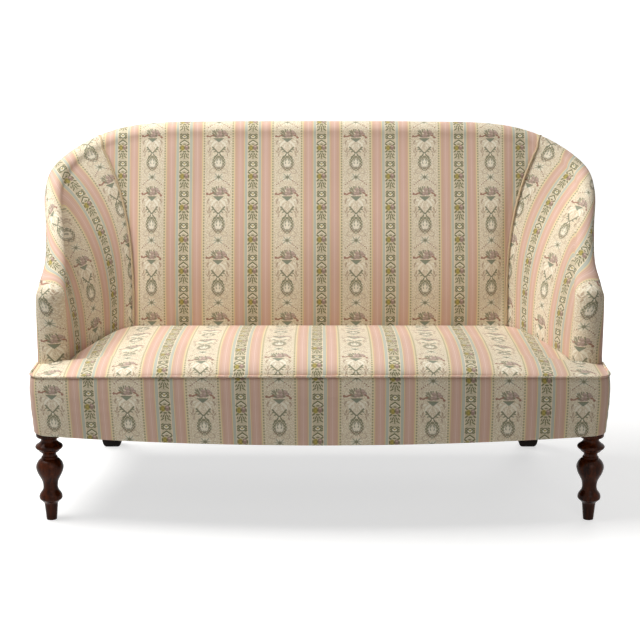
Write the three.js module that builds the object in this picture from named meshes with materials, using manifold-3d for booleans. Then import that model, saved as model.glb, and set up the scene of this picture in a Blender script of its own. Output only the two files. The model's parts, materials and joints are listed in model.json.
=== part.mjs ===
// An upholstered settee of the 19th century: a sprung seat inside a tub-shaped back that sweeps down into
// the arms, on two turned front legs and two raked back legs. A beech frame carries webs, coil springs,
// stuffing and covers.
// Millimetres. X runs across the settee, the front faces -Y and +Z is up. Until the last lines Y is measured
// from the front corners of the seat; the finished group is then moved so that its origin is on the floor at
// its middle.
import * as THREE from "three";
import { mergeVertices } from "three/addons/utils/BufferGeometryUtils.js";
import Module from "manifold-3d";

const wasm = await Module();
wasm.setup();

// Driving sizes of the whole.
const WIDTH = 1330; // over the front corners of the seat
const DEPTH = 640; // from the front corners to the back of the crest
const HEIGHT = 874; // floor to crest
const SEAT_EDGE = 355; // floor to the edge of the seat at the front corners
const RIM = 215; // floor to the lower edge of the upholstery
const FRONT_BOW = 60; // how far the middle of the front stands before its corners
const EDGE_RISE = 20; // how much higher the seat's edge is in the middle than at the corners
const RIM_DIP = 3; // how much lower the rim is in the middle of the front
const SEAT_CORNER = 40; // rounding of the front corners in plan
const SEAT_RISE = 18; // how much higher the seat meets the back than its edge at the front corners
const SEAT_CROWN = 44; // how far the seat domes over the line from edge to edge
const ROLL = 30; // radius of the rolled top edge in the middle of the back
const CLEARANCE = 0.3; // between pieces that touch
const SEAT_GAP = 0.9; // between the seat's edge and the wall

// Sizes of the soft pieces.
const COVER = 1.5; // thickness of the cover cloth with its lining
const BACK_PAD_share = 0.6; // stuffing in the small of the back, of the wall's thickness there
const WING_PAD = 18; // stuffing over the inside of the arms
const NOSE_PAD = 10; // stuffing round the front of the arms
const ROLL_PAD = 9; // stuffing over the top edge of the back
const ARM_ROLL_PAD = 6; // stuffing over the top edge of the arms
const WELT = 3; // radius of the piping
const TUCK_DEPTH = 35; // how far the inside covers reach down behind the seat's edge
const BORDER_BELLY = 3; // how far the front border swells at its middle
const HESSIAN = 1.5;
const SPRING_SWELL = 45; // how far the springs lift the hessian over the rails
const WADDING = 3; // between the seat's cover and its stuffing
const SEAT_LIFT = 4; // loose filling between the hessian and the stuffing on it
const LINING = 1;

// Sizes of the frame.
const RAIL_RAISE = 7; // from the rim of the upholstery up to the seat rails
const RAIL_DROP = 49; // from the seat's edge down to the top of the seat rails
const RAIL_THICK = 30;
const RAIL_SETBACK = 3; // from the inside of the covers to the rails
const FRONT_RAIL_THICK = 41; // where the front rail meets the legs
const SIDE_RAIL_TURN = 120; // length over which a side rail bends in to the back post
const LEG_SINK = 1; // how far the turned part of the front legs stays under the rim
const LEG_RADIUS = 32;
const LEG_BLOCK = 46;
const LEG_SIDE = 33; // from the side of the seat to the axis of a front leg
const LEG_Y = 46;
const POST_WIDTH = 48;
const POST_DEPTH = 38;
const POST_SIDE = 106; // from the side of the seat to the middle of a back post
const ARM_POST = 28;
const CREST_RAIL = 33;
const ARM_RAIL = 30;
const STUFF_RAIL = 22;
const ARM_STUFF_RAIL = 16;
const STUFF_RAIL_HEIGHT = 38;
const STUFF_RAIL_RAISE = 2; // from the lower edge of the inside covers up to the stuffing rails
const UPRIGHT_WIDTH = 40;
const UPRIGHT_THICK = 22;
const UPRIGHT_share = 0.3; // of half the width, from the middle to an upright
const TENON = 16; // length of every tenon
const TENON_THICK = 12;
const TENON_share = 0.55; // of a seat rail's height
const BRACE_share = 0.48; // of a seat rail's height
const BRACE_REACH = 60;

// Sizes of the webs and springs.
const WEB_WIDTH = 50;
const WEB_THICK = 1.6;
const SPRING_ROW_shares = [0.1875, 0.5]; // of the depth, from the front corners
const SPRING_COLUMNS = 5;
const SPRING_RADIUS = 44;
const SPRING_WAIST = 30; // radius at the middle of a spring
const SPRING_WIRE = 3.8;
const SPRING_SLACK = 2; // between a spring and the hessian that it lifts
const SPRING_TURNS = 4;

// How finely the curved pieces are cut into flats.
const FACE_STEPS = 5;
const ROLL_STEPS = 4;
const OUTSIDE_STEPS = 3;
const BORDER_ROWS = 4;
const FRONT_STEPS = 9;
const SIDE_STEPS = 10;
const HESSIAN_ROWS = 10;
const LEG_SIDES = 16;
const WELT_SIDES = 6;
const SPRING_SIDES = 4;
const SPRING_TURN_STEPS = 8;

const HALF = WIDTH / 2;
const LEG_X = HALF - LEG_SIDE;
const POST_X = HALF - POST_SIDE;
const UPRIGHT_X = UPRIGHT_share * HALF;
const LEG_TURNED = RIM - LEG_SINK;
const TUCK = SEAT_EDGE - TUCK_DEPTH; // height
const RAIL_BOTTOM = RIM + RAIL_RAISE;
const RAIL_TOP = SEAT_EDGE - RAIL_DROP;
const TENON_HEIGHT = TENON_share * (RAIL_TOP - RAIL_BOTTOM);
const BRACE_HEIGHT = BRACE_share * (RAIL_TOP - RAIL_BOTTOM);
const STUFF_RAIL_BOTTOM = TUCK + STUFF_RAIL_RAISE;
const SPRING_PITCH = WIDTH / (SPRING_COLUMNS + 2); // from spring to spring across the seat
const SPRING_ROWS = SPRING_ROW_shares.map((share) => share * DEPTH);
const UP = new THREE.Vector3(0, 0, 1);
const ACROSS = new THREE.Vector3(1, 0, 0);
const WELD = 1e-3; // corners closer than this are one corner
const NOSE_END = THREE.MathUtils.degToRad(160); // how far the inside cover goes round the front of the arm

// The wall of the back and arms, as stations from the middle of the back (0) to the front of the arm (9).
// Plan places are shares of half the width and of the depth; the crest's height is a share of the rise from
// the seat's edge to the top. roll is a share of the roll's radius, and flare is the power by which the
// inside face leans outwards as it rises.
const STATION_shares = [
  { inner: [0, 0.706], crest: [0, 0.95, 1], outer: [0, 0.888], roll: 1, flare: 1 },
  { inner: [0.361, 0.706], crest: [0.368, 0.95, 0.998], outer: [0.361, 0.888], roll: 1, flare: 1 },
  { inner: [0.624, 0.706], crest: [0.669, 0.947, 0.987], outer: [0.632, 0.888], roll: 1, flare: 1.3 },
  { inner: [0.713, 0.698], crest: [0.85, 0.931, 0.932], outer: [0.85, 0.888], roll: 0.95, flare: 2.9 },
  { inner: [0.783, 0.6375], crest: [0.976, 0.836, 0.832], outer: [0.93, 0.862], roll: 0.8, flare: 2.5 },
  { inner: [0.835, 0.509], crest: [0.998, 0.6875, 0.738], outer: [0.928, 0.6875], roll: 0.7, flare: 1.8 },
  { inner: [0.869, 0.409], crest: [0.972, 0.516, 0.603], outer: [0.945, 0.523], roll: 0.72, flare: 1.6 },
  { inner: [0.89, 0.347], crest: [0.952, 0.375, 0.478], outer: [0.968, 0.375], roll: 0.82, flare: 1.4 },
  { inner: [0.899, 0.289], crest: [0.951, 0.281, 0.401], outer: [0.988, 0.278], roll: 1.06, flare: 1.2 },
  { inner: [0.899, 0.231], crest: [0.952, 0.231, 0.364], outer: [1.003, 0.231], roll: 1.14, flare: 1 },
];
const ARM_END = STATION_shares.length - 1; // the station where the arm's rounded front begins
const SEAM_STATION = 3; // the station of the seam between the inside back and the inside arm
const NOSE_STATION = ARM_END + 1; // the station at the end of the way round the front of the arm

// A smooth curve through one number of every station.
function throughStations(read, u) {
  const last = STATION_shares.length - 1;
  const k = Math.min(Math.floor(u), last - 1);
  const f = u - k;
  const at = (i) => read(STATION_shares[i]);
  const p1 = at(k);
  const p2 = at(k + 1);
  const p0 = k > 0 ? at(k - 1) : 2 * p1 - p2;
  const p3 = k + 2 <= last ? at(k + 2) : 2 * p2 - p1;
  const cubic = -p0 + 3 * p1 - 3 * p2 + p3;
  const square = 2 * p0 - 5 * p1 + 4 * p2 - p3;
  return 0.5 * (2 * p1 + (p2 - p0) * f + square * f * f + cubic * f * f * f);
}

function planPoint(name, u) {
  const x = throughStations((s) => s[name][0], u) * HALF;
  const y = throughStations((s) => s[name][1], u) * DEPTH;
  return new THREE.Vector2(x, y);
}

// Everything about the wall at one station. Past ARM_END the station turns round the arm's rounded front.
function station(u) {
  const onWall = Math.min(u, ARM_END);
  const roll = throughStations((s) => s.roll, onWall) * ROLL;
  const top = SEAT_EDGE + throughStations((s) => s.crest[2], onWall) * (HEIGHT - SEAT_EDGE);
  const crest = planPoint("crest", onWall);
  const flare = throughStations((s) => s.flare, onWall);
  let inner = planPoint("inner", onWall);
  const outer = planPoint("outer", onWall);
  const step = 1e-3;
  const ahead = planPoint("crest", Math.min(onWall + step, ARM_END));
  const along = ahead.sub(planPoint("crest", Math.max(onWall - step, 0))).normalize();
  let out = new THREE.Vector2(-along.y, along.x); // level, from the sitter towards the outside
  if (onWall === ARM_END) out = new THREE.Vector2(1, 0);
  if (u > ARM_END) {
    const turn = (u - ARM_END) * NOSE_END;
    out = new THREE.Vector2(Math.cos(turn), Math.sin(turn));
    inner = crest.clone().addScaledVector(out, inner.x - crest.x);
  }
  return { inner, outer, crest, top, roll, flare, out, u };
}

const lift = (v2, z) => new THREE.Vector3(v2.x, v2.y, z);
const mix = THREE.MathUtils.lerp;

// The face leans back at an even rate for this share of its lean, and ever faster for the rest.
const EVEN_LEAN_share = 0.35;
const LEAN_POWER = 1.2;

// A point of the wall's skin with the direction that points out of the stuffing there.
function facePoint(s, h) {
  const start = s.crest.clone().addScaledVector(s.out, -s.roll);
  const base = seatLine(s.inner.y);
  const x = mix(s.inner.x, start.x, h ** s.flare);
  const y = mix(s.inner.y, start.y, mix(h ** LEAN_POWER, h, EVEN_LEAN_share));
  const point = new THREE.Vector3(x, y, mix(base, s.top - s.roll, h));
  return { point, away: lift(s.out.clone().negate(), 0) };
}

function rollPoint(s, angle) {
  const away = lift(s.out.clone().multiplyScalar(-Math.cos(angle)), Math.sin(angle));
  return { point: lift(s.crest, s.top - s.roll).addScaledVector(away, s.roll), away };
}

function outsidePoint(s, h) {
  const start = s.crest.clone().addScaledVector(s.out, s.roll);
  const plan = start.lerp(s.outer, h);
  return { point: lift(plan, mix(s.top - s.roll, RIM, h)), away: lift(s.out, 0) };
}

// The height of the line where the seat meets the wall, falling from the back to the front of the arms.
function seatLine(y) {
  const back = STATION_shares[0].inner[1] * DEPTH;
  const front = STATION_shares[ARM_END].inner[1] * DEPTH;
  return SEAT_EDGE + SEAT_RISE * THREE.MathUtils.clamp((y - front) / (back - front), 0, 1);
}

// The inside cover rolls over the crest to this angle, and only to the top at the arm's rounded front.
function rollEnd(u) {
  const past = THREE.MathUtils.clamp(ARM_END - u, 0, 1);
  return THREE.MathUtils.degToRad(90 + 60 * past);
}

function insideProfile(u, low) {
  const s = station(u);
  const foot = facePoint(s, 0);
  const rows = [{ point: foot.point.clone().setZ(low), away: foot.away, share: 0 }];
  for (let k = 0; k <= FACE_STEPS; k++) {
    rows.push({ ...facePoint(s, k / FACE_STEPS), share: k / FACE_STEPS });
  }
  for (let k = 1; k <= ROLL_STEPS; k++) {
    rows.push({ ...rollPoint(s, (rollEnd(u) * k) / ROLL_STEPS), share: 1 });
  }
  return rows;
}

function outsideProfile(u, low) {
  const s = station(Math.min(u, ARM_END));
  if (u > ARM_END) {
    const turn = (u - ARM_END) * NOSE_END;
    s.out = new THREE.Vector2(-Math.cos(turn), -Math.sin(turn));
    s.outer = s.crest.clone().addScaledVector(s.out, s.roll);
  }
  const rows = [];
  const start = rollEnd(u) + (u > ARM_END ? 0 : CLEARANCE / s.roll);
  for (let k = 0; k < ROLL_STEPS; k++) {
    rows.push(rollPoint(s, mix(start, Math.PI, k / ROLL_STEPS)));
  }
  for (let k = 0; k <= OUTSIDE_STEPS; k++) {
    rows.push(outsidePoint(s, k / OUTSIDE_STEPS));
  }
  rows[rows.length - 1].point.z = low;
  return rows;
}

// Turns lists of corners and triangles into a closed mesh that faces out, without triangles of no area.
function closedSolid(points, triangles) {
  const geometry = new THREE.BufferGeometry().setFromPoints(points);
  geometry.setIndex(triangles.flat());
  const merged = mergeVertices(geometry, WELD);
  const index = merged.index.array;
  const kept = [];
  for (let i = 0; i < index.length; i += 3) {
    const [a, b, c] = index.slice(i, i + 3);
    if (a !== b && b !== c && c !== a) kept.push([a, b, c]);
  }
  const at = (i) => new THREE.Vector3().fromBufferAttribute(merged.getAttribute("position"), i);
  const volume = kept.reduce((sum, [a, b, c]) => sum + at(a).dot(at(b).cross(at(c))), 0);
  merged.setIndex((volume < 0 ? kept.map(([a, b, c]) => [a, c, b]) : kept).flat());
  return merged;
}

// A slab between two grids of points of the same size: a front skin, a back skin and a wall round the edge.
function slab(front, back) {
  const rows = front.length;
  const columns = front[0].length;
  const points = [...front.flat(), ...back.flat()];
  const id = (side, i, j) => side * rows * columns + i * columns + j;
  const triangles = [];
  const quad = (a, b, c, d) => triangles.push([a, b, c], [a, c, d]);
  for (let i = 0; i + 1 < rows; i++) {
    for (let j = 0; j + 1 < columns; j++) {
      quad(id(0, i, j), id(0, i + 1, j), id(0, i + 1, j + 1), id(0, i, j + 1));
      quad(id(1, i, j), id(1, i, j + 1), id(1, i + 1, j + 1), id(1, i + 1, j));
    }
    quad(id(0, i, 0), id(1, i, 0), id(1, i + 1, 0), id(0, i + 1, 0));
    quad(id(0, i + 1, columns - 1), id(1, i + 1, columns - 1), id(1, i, columns - 1), id(0, i, columns - 1));
  }
  for (let j = 0; j + 1 < columns; j++) {
    quad(id(0, 0, j + 1), id(1, 0, j + 1), id(1, 0, j), id(0, 0, j));
    quad(id(0, rows - 1, j), id(1, rows - 1, j), id(1, rows - 1, j + 1), id(0, rows - 1, j + 1));
  }
  return closedSolid(points, triangles);
}

// A solid through closed loops of points of the same count, with flat ends.
function loft(loops) {
  const sides = loops[0].length;
  const points = loops.flat();
  const triangles = [];
  for (let i = 0; i + 1 < loops.length; i++) {
    for (let j = 0; j < sides; j++) {
      const a = i * sides + j;
      const b = i * sides + ((j + 1) % sides);
      triangles.push([a, a + sides, b + sides], [a, b + sides, b]);
    }
  }
  const last = (loops.length - 1) * sides;
  for (let j = 1; j + 1 < sides; j++) {
    triangles.push([0, j, j + 1], [last, last + j + 1, last + j]);
  }
  return closedSolid(points, triangles);
}

// A round tube along a list of points, its section kept from turning about the line.
function tube(line, radius, sides) {
  const loops = [];
  let side = ACROSS;
  for (let i = 0; i < line.length; i++) {
    const ahead = line[Math.min(i + 1, line.length - 1)];
    const along = ahead.clone().sub(line[Math.max(i - 1, 0)]).normalize();
    side = side.clone().addScaledVector(along, -side.dot(along)).normalize();
    const other = along.clone().cross(side);
    loops.push(
      Array.from({ length: sides }, (_, k) => {
        const turn = (2 * Math.PI * k) / sides;
        const arm = side.clone().multiplyScalar(Math.cos(turn)).addScaledVector(other, Math.sin(turn));
        return line[i].clone().addScaledVector(arm, radius);
      }),
    );
  }
  return loft(loops);
}

// An upright prism over a plan outline.
function prism(outline, bottom, top) {
  return loft([bottom, top].map((z) => outline.map((p) => lift(p, z))));
}

function block(x0, x1, y0, y1, z0, z1) {
  const corners = [
    [x0, y0],
    [x1, y0],
    [x1, y1],
    [x0, y1],
  ];
  return prism(corners.map(([x, y]) => new THREE.Vector2(x, y)), z0, z1);
}

// A straight board between two points, width across the run in plan and height up.
function board(from, to, width, height) {
  const across = to.clone().sub(from).cross(UP).normalize().multiplyScalar(width / 2);
  const rise = new THREE.Vector3(0, 0, height / 2);
  const loop = (p) => [
    p.clone().add(across).add(rise),
    p.clone().add(across).sub(rise),
    p.clone().sub(across).sub(rise),
    p.clone().sub(across).add(rise),
  ];
  return loft([loop(from), loop(to)]);
}

// Joins and cuts.
function toManifold(geometry) {
  const plain = geometry.clone();
  plain.deleteAttribute("normal");
  plain.deleteAttribute("uv");
  const merged = mergeVertices(plain, WELD);
  const vertProperties = new Float32Array(merged.getAttribute("position").array);
  const triVerts = new Uint32Array(merged.index.array);
  return new wasm.Manifold(new wasm.Mesh({ numProp: 3, vertProperties, triVerts }));
}

function fromManifold(solid) {
  const mesh = solid.getMesh();
  const geometry = new THREE.BufferGeometry();
  geometry.setAttribute("position", new THREE.BufferAttribute(mesh.vertProperties, 3));
  geometry.setIndex(new THREE.BufferAttribute(mesh.triVerts, 1));
  return geometry;
}

function joined(...pieces) {
  return fromManifold(pieces.map(toManifold).reduce((a, b) => a.add(b)));
}

function cutBy(geometry, ...tools) {
  return fromManifold(tools.map(toManifold).reduce((a, b) => a.subtract(b), toManifold(geometry)));
}

function mirrored(geometry) {
  const copy = geometry.clone().applyMatrix4(new THREE.Matrix4().makeScale(-1, 1, 1));
  const index = Array.from(copy.index.array);
  for (let i = 0; i < index.length; i += 3) [index[i + 1], index[i + 2]] = [index[i + 2], index[i + 1]];
  copy.setIndex(index);
  return copy;
}

// Materials.
const finish = (color, roughness) => new THREE.MeshStandardMaterial({ color, roughness, metalness: 0 });
const CLOTH = finish(0xd9c9a8, 0.85);
const PIPING = finish(0xcdb793, 0.8);
const BEECH = finish(0xc49a6c, 0.65);
const MAHOGANY = finish(0x4a1f10, 0.35);
const DARK_WOOD = finish(0x1c120d, 0.5);
const JUTE = finish(0xa98f62, 0.95);
const HORSEHAIR = finish(0x57463a, 1);
const STEEL = new THREE.MeshStandardMaterial({ color: 0x8c8c8c, roughness: 0.45, metalness: 1 });
const LINEN = finish(0x2b2826, 0.95);

const settee = new THREE.Group();
function add(name, geometry, material) {
  const mesh = new THREE.Mesh(geometry, material);
  mesh.name = name;
  settee.add(mesh);
  return mesh;
}

function addPair(name, geometry, material) {
  add(`${name}_right`, geometry, material);
  add(`${name}_left`, mirrored(geometry), material);
}

// Stations that the soft pieces share, so that neighbours have the same corners and stay apart.
const BACK_STATIONS = [0, 0.5, 1, 1.6, 2.2, 2.6, SEAM_STATION];
const WING_STATIONS = [SEAM_STATION, 3.33, 3.67, 4, 4.33, 4.67, 5, 5.5, 6, 6.5, 7, 7.5, 8, 8.5, ARM_END];
const NOSE_STATIONS = [0.2, 0.4, 0.6, 0.8, 1].map((share) => ARM_END + share);
const SEAT_END = NOSE_STATIONS[2]; // the seat reaches this far round the front of the arm
const SEAM_GAP = CLEARANCE / station(SEAM_STATION).inner.distanceTo(station(SEAM_STATION + 1).inner);

const symmetric = (list) => [...list.slice(1).reverse().map((u) => -u), ...list];
const backStations = symmetric([...BACK_STATIONS.slice(0, -1), SEAM_STATION - SEAM_GAP]);
const wingStations = [SEAM_STATION + SEAM_GAP, ...WING_STATIONS.slice(1)];

// The skin of the wall over a list of stations, mirrored for negative ones.
function wallGrid(stations, profile, low) {
  return stations.map((u) => {
    const turn = (v) => (u < 0 ? new THREE.Vector3(-v.x, v.y, v.z) : v);
    const rows = profile(Math.abs(u), typeof low === "function" ? low(u) : low);
    return rows.map((row) => ({ ...row, u: Math.abs(u), point: turn(row.point), away: turn(row.away) }));
  });
}

// The points of a skin moved inwards by a depth, which may depend on the place.
function sunk(grid, depth) {
  const deep = typeof depth === "function" ? depth : () => depth;
  return grid.map((rows) => rows.map((row) => row.point.clone().addScaledVector(row.away, -deep(row))));
}

const backWall = station(0);
const BACK_PAD = BACK_PAD_share * (backWall.outer.y - backWall.inner.y);

// How deep the stuffing reaches below the skin: full at the seat and thin over the rolled edge.
function padDepth({ u, share }) {
  const toArm = THREE.MathUtils.smoothstep(u, SEAM_STATION, SEAM_STATION + 2);
  const roll = mix(ROLL_PAD, ARM_ROLL_PAD, toArm);
  const full = u > ARM_END ? NOSE_PAD : mix(BACK_PAD, WING_PAD, toArm);
  const thin = mix(share, THREE.MathUtils.smoothstep(share, 0.5, 1), toArm);
  return COVER + CLEARANCE + mix(full, roll, thin);
}

const behindPad = (row) => padDepth(row) + CLEARANCE;
const behindHessian = (row) => behindPad(row) + HESSIAN;

function insideOfTheWall() {
  const under = COVER + CLEARANCE;
  const noseLow = (u) => (u > SEAT_END ? SEAT_EDGE : TUCK);
  const back = wallGrid(backStations, insideProfile, TUCK);
  const arm = wallGrid([...wingStations, ...NOSE_STATIONS], insideProfile, noseLow);
  add("inside_back_cover", slab(sunk(back, 0), sunk(back, COVER)), CLOTH);
  add("inside_back_stuffing", slab(sunk(back, under), sunk(back, padDepth)), HORSEHAIR);
  addPair("inside_arm_cover", slab(sunk(arm, 0), sunk(arm, COVER)), CLOTH);
  addPair("arm_stuffing", slab(sunk(arm, under), sunk(arm, padDepth)), HORSEHAIR);

  const face = (stations) =>
    wallGrid(stations, insideProfile, STUFF_RAIL_BOTTOM).map((rows) => rows.slice(0, FACE_STEPS + 2));
  const backFace = face(backStations);
  const armFace = face(wingStations.slice(0, -1));
  add("back_hessian", slab(sunk(backFace, behindPad), sunk(backFace, behindHessian)), JUTE);
  addPair("arm_hessian", slab(sunk(armFace, behindPad), sunk(armFace, behindHessian)), JUTE);
}

function outsideOfTheWall() {
  const noseGap = CLEARANCE / (station(NOSE_STATION).roll * NOSE_END);
  const back = wallGrid(backStations, outsideProfile, RIM);
  const arm = wallGrid([...wingStations, NOSE_STATION + noseGap], outsideProfile, RIM);
  add("outside_back_cover", slab(sunk(back, 0), sunk(back, COVER)), CLOTH);
  addPair("outside_arm_cover", slab(sunk(arm, 0), sunk(arm, COVER)), CLOTH);
}

// The plan line of the front, from its middle round a front corner and along the side to the arm's front.
const cornerStart = new THREE.Vector2(HALF - SEAT_CORNER, 0);
const bowSlope = (2 * FRONT_BOW) / cornerStart.x;
const cornerPeak = new THREE.Vector2(HALF, SEAT_CORNER * bowSlope);
const cornerEnd = new THREE.Vector2(HALF, cornerPeak.y + SEAT_CORNER);
const sideEnd = new THREE.Vector2(HALF, station(NOSE_STATION).inner.y - CLEARANCE);
const bowStart = new THREE.Vector2(0, -FRONT_BOW);
const bowPeak = new THREE.Vector2(cornerStart.x / 2, -FRONT_BOW);
const frontLine = new THREE.CurvePath();
frontLine.add(new THREE.QuadraticBezierCurve(bowStart, bowPeak, cornerStart));
frontLine.add(new THREE.QuadraticBezierCurve(cornerStart, cornerPeak, cornerEnd));
frontLine.add(new THREE.LineCurve(cornerEnd, sideEnd));
const [bowRun, cornerRun, fullRun] = frontLine.getCurveLengths();
const SIDE_REACH_share = 0.7; // the seat leaves the side line this share of the way to the arm

const weltHeight = (x) => SEAT_EDGE + EDGE_RISE * (1 - (x / HALF) ** 2);
const rimHeight = (x) => RIM - RIM_DIP * (1 - (x / HALF) ** 2);

// A point of the front line at a run from the middle, moved inwards; negative runs are on the left.
function frontPoint(run, inset) {
  const share = Math.abs(run) / fullRun;
  const point = frontLine.getPointAt(share);
  const along = frontLine.getTangentAt(share);
  point.addScaledVector(new THREE.Vector2(-along.y, along.x), inset);
  return lift(new THREE.Vector2(run < 0 ? -point.x : point.x, point.y), weltHeight(point.x));
}

const COLUMN_shares = [0, 0.18, 0.36, 0.56, 0.78, 0.93, 1]; // along the front, one for each back station
const middleColumn = COLUMN_shares.length - 1;
const frontRuns = symmetric(COLUMN_shares.map((share) => share * mix(bowRun, cornerRun, 0.5)));
const sideRuns = [cornerRun, mix(cornerRun, fullRun, SIDE_REACH_share)];

// The foot of the wall, where the seat meets it; negative stations are on the left.
function wallFoot(u) {
  const s = station(Math.abs(u));
  const p = s.inner.clone().addScaledVector(s.out, -SEAT_GAP);
  return new THREE.Vector3(u < 0 ? -p.x : p.x, p.y, seatLine(s.inner.y));
}

// The seat as a surface stretched between its front, its two sides and the back, with a dome on top.
function seatGrid(inset, height) {
  const front = frontRuns.map((run) => frontPoint(run, inset));
  const back = symmetric(BACK_STATIONS).map(wallFoot);
  const round = [...WING_STATIONS, ...NOSE_STATIONS].filter((u) => u <= SEAT_END).reverse();
  const right = [front.at(-1), ...sideRuns.map((run) => frontPoint(run, inset)), ...round.map(wallFoot)];
  const left = right.map((p) => new THREE.Vector3(-p.x, p.y, p.z));
  const last = right.length - 1;
  return right.map(({ y }, i) => {
    const depthShare = (y - right[0].y) / (right[last].y - right[0].y);
    const t = mix(i / last, depthShare, 0.5);
    return front.map((start, k) => {
      const s = Math.sign(k - middleColumn) * COLUMN_shares[Math.abs(k - middleColumn)];
      const side = s < 0 ? left : right;
      const bulge = side[i].clone().sub(side[0].clone().lerp(side[last], t));
      const point = start.clone().lerp(back[k], t).addScaledVector(bulge, Math.abs(s) ** 3);
      return point.setZ(height(point, s, t));
    });
  });
}

const CROWN_POWER = 0.55; // under 1, so that the seat is highest in front of its middle
const crown = (s, t) => SEAT_CROWN * (1 - s * s) * Math.sin(Math.PI * t ** CROWN_POWER);
const seatTop = (drop) => (p, s, t) => p.z + crown(s, t) - drop;

// The hessian domes over the springs: flat on the rails and highest in the middle of the seat.
function hessianTop(x, y) {
  const wall = station(0).inner.y;
  const front = frontRailBack(x);
  const deep = (2 * (y - front)) / (wall - front) - 1;
  const rise = Math.max(0, 1 - (x / wallX(y)) ** 4) * Math.max(0, 1 - deep ** 4);
  return RAIL_TOP + CLEARANCE + HESSIAN + SPRING_SWELL * rise;
}

// How far from the middle the foot of the wall lies at a depth, near enough for what is under the seat.
function wallX(y) {
  const arm = station(ARM_END).inner;
  const corner = station(SEAM_STATION).inner;
  return mix(arm.x, corner.x, THREE.MathUtils.clamp((y - arm.y) / (corner.y - arm.y), 0, 1) ** 2);
}

function seat() {
  const under = COVER + CLEARANCE;
  const bottom = (p) => hessianTop(p.x, p.y) + SEAT_LIFT;
  add("seat_cover", slab(seatGrid(0, seatTop(0)), seatGrid(0, seatTop(COVER))), CLOTH);
  const top = seatTop(COVER + WADDING);
  add("seat_stuffing", slab(seatGrid(under, top), seatGrid(under, bottom)), HORSEHAIR);
}

// The front border hangs from the welt and returns along the sides to the arms.
function frontBorder() {
  const reach = [...frontRuns.slice(middleColumn), ...sideRuns, fullRun];
  const face = (inset) =>
    symmetric(reach).map((run) =>
      Array.from({ length: BORDER_ROWS + 1 }, (_, k) => {
        const q = k / BORDER_ROWS;
        const edge = frontPoint(run, inset);
        const point = frontPoint(run, inset - BORDER_BELLY * Math.sin(Math.PI * q));
        return point.setZ(mix(edge.z - COVER - CLEARANCE, rimHeight(edge.x), q));
      }),
    );
  add("front_border", slab(face(0), face(COVER)), CLOTH);
}

const SEAM_REACH_share = 1.1; // the covers bend towards the seam's piping, so it stands out a little further

function piping() {
  const reach = WELT + CLEARANCE;
  const stand = reach * Math.SQRT1_2;
  const runs = symmetric([...frontRuns.slice(middleColumn), ...sideRuns]);
  const edge = runs.map((run) => frontPoint(run, -stand).add(new THREE.Vector3(0, 0, stand)));
  add("seat_welt", tube(edge, WELT, WELT_SIDES), PIPING);
  const rows = insideProfile(SEAM_STATION, seatLine(station(SEAM_STATION).inner.y)).slice(1, -1);
  const line = rows.map(({ point, away }, k) => {
    const above = rows[Math.min(k + 1, rows.length - 1)].point;
    const up = above.clone().sub(rows[Math.max(k - 1, 0)].point).normalize();
    const off = away.clone().addScaledVector(up, -up.dot(away)).normalize();
    return point.clone().addScaledVector(off, SEAM_REACH_share * reach);
  });
  line[0].z += reach;
  addPair("seam_piping", tube(line, WELT, WELT_SIDES), PIPING);
}

// Mortise and tenon joints: a tongue on one piece and a socket in the other, both along a level direction.
function joint(x, y, z, dx, dy, height) {
  return { start: new THREE.Vector3(x, y, z), way: new THREE.Vector3(dx, dy, 0).normalize(), height };
}

function tongue({ start, way, height }, gap = 0) {
  const from = start.clone().addScaledVector(way, -TENON);
  const to = start.clone().addScaledVector(way, TENON + gap);
  return board(from, to, TENON_THICK + 2 * gap, height + 2 * gap);
}

const socket = (place) => tongue(place, CLEARANCE);

// An upright tenon, square in plan, reaching its length below and above a height.
function peg({ x, y, z }, gap = 0) {
  const half = TENON_THICK / 2 + gap;
  return block(x - half, x + half, y - half, y + half, z - TENON - gap, z + TENON + gap);
}

const RAIL_MIDDLE = (RAIL_BOTTOM + RAIL_TOP) / 2;
const STUFF_RAIL_MIDDLE = STUFF_RAIL_BOTTOM + STUFF_RAIL_HEIGHT / 2;
const blockInner = LEG_X - LEG_BLOCK / 2;
const blockBack = LEG_Y + LEG_BLOCK / 2;
const postOuter = POST_X + POST_WIDTH / 2;
const postInner = POST_X - POST_WIDTH / 2;

// The back posts: a raked leg below the seat and a leaning post above it, sawn from one piece.
const POST_TOP = station(SEAM_STATION).top - station(SEAM_STATION).roll - CREST_RAIL / 4;
const POST_PATH_shares = [
  { z: 0, y: 0.968, size: 1.02 },
  { z: 0.012, y: 0.965, size: 1.08 },
  { z: 0.09, y: 0.937, size: 1.06 },
  { z: 0.18, y: 0.89, size: 1.02 },
  { z: 0.265, y: 0.85, size: 1 },
  { z: 0.4, y: 0.85, size: 1 },
  { z: 0.64, y: 0.88, size: 0.86 },
  { z: 1, y: 0.931, size: 0.66 },
];

function postCentre(z) {
  const share = z / POST_TOP;
  const k = Math.max(1, POST_PATH_shares.findIndex((p) => p.z >= share));
  const [a, b] = [POST_PATH_shares[k - 1], POST_PATH_shares[k]];
  return new THREE.Vector3(POST_X, mix(a.y, b.y, (share - a.z) / (b.z - a.z)) * DEPTH, z);
}

const postFront = postCentre(RAIL_MIDDLE).y - POST_DEPTH / 2;
const backRailY = postCentre(RAIL_MIDDLE).y + (POST_DEPTH - RAIL_THICK) / 2;
const backStuffY = station(0).inner.y + COVER + BACK_PAD + HESSIAN + 6 * CLEARANCE + STUFF_RAIL / 2;

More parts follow.
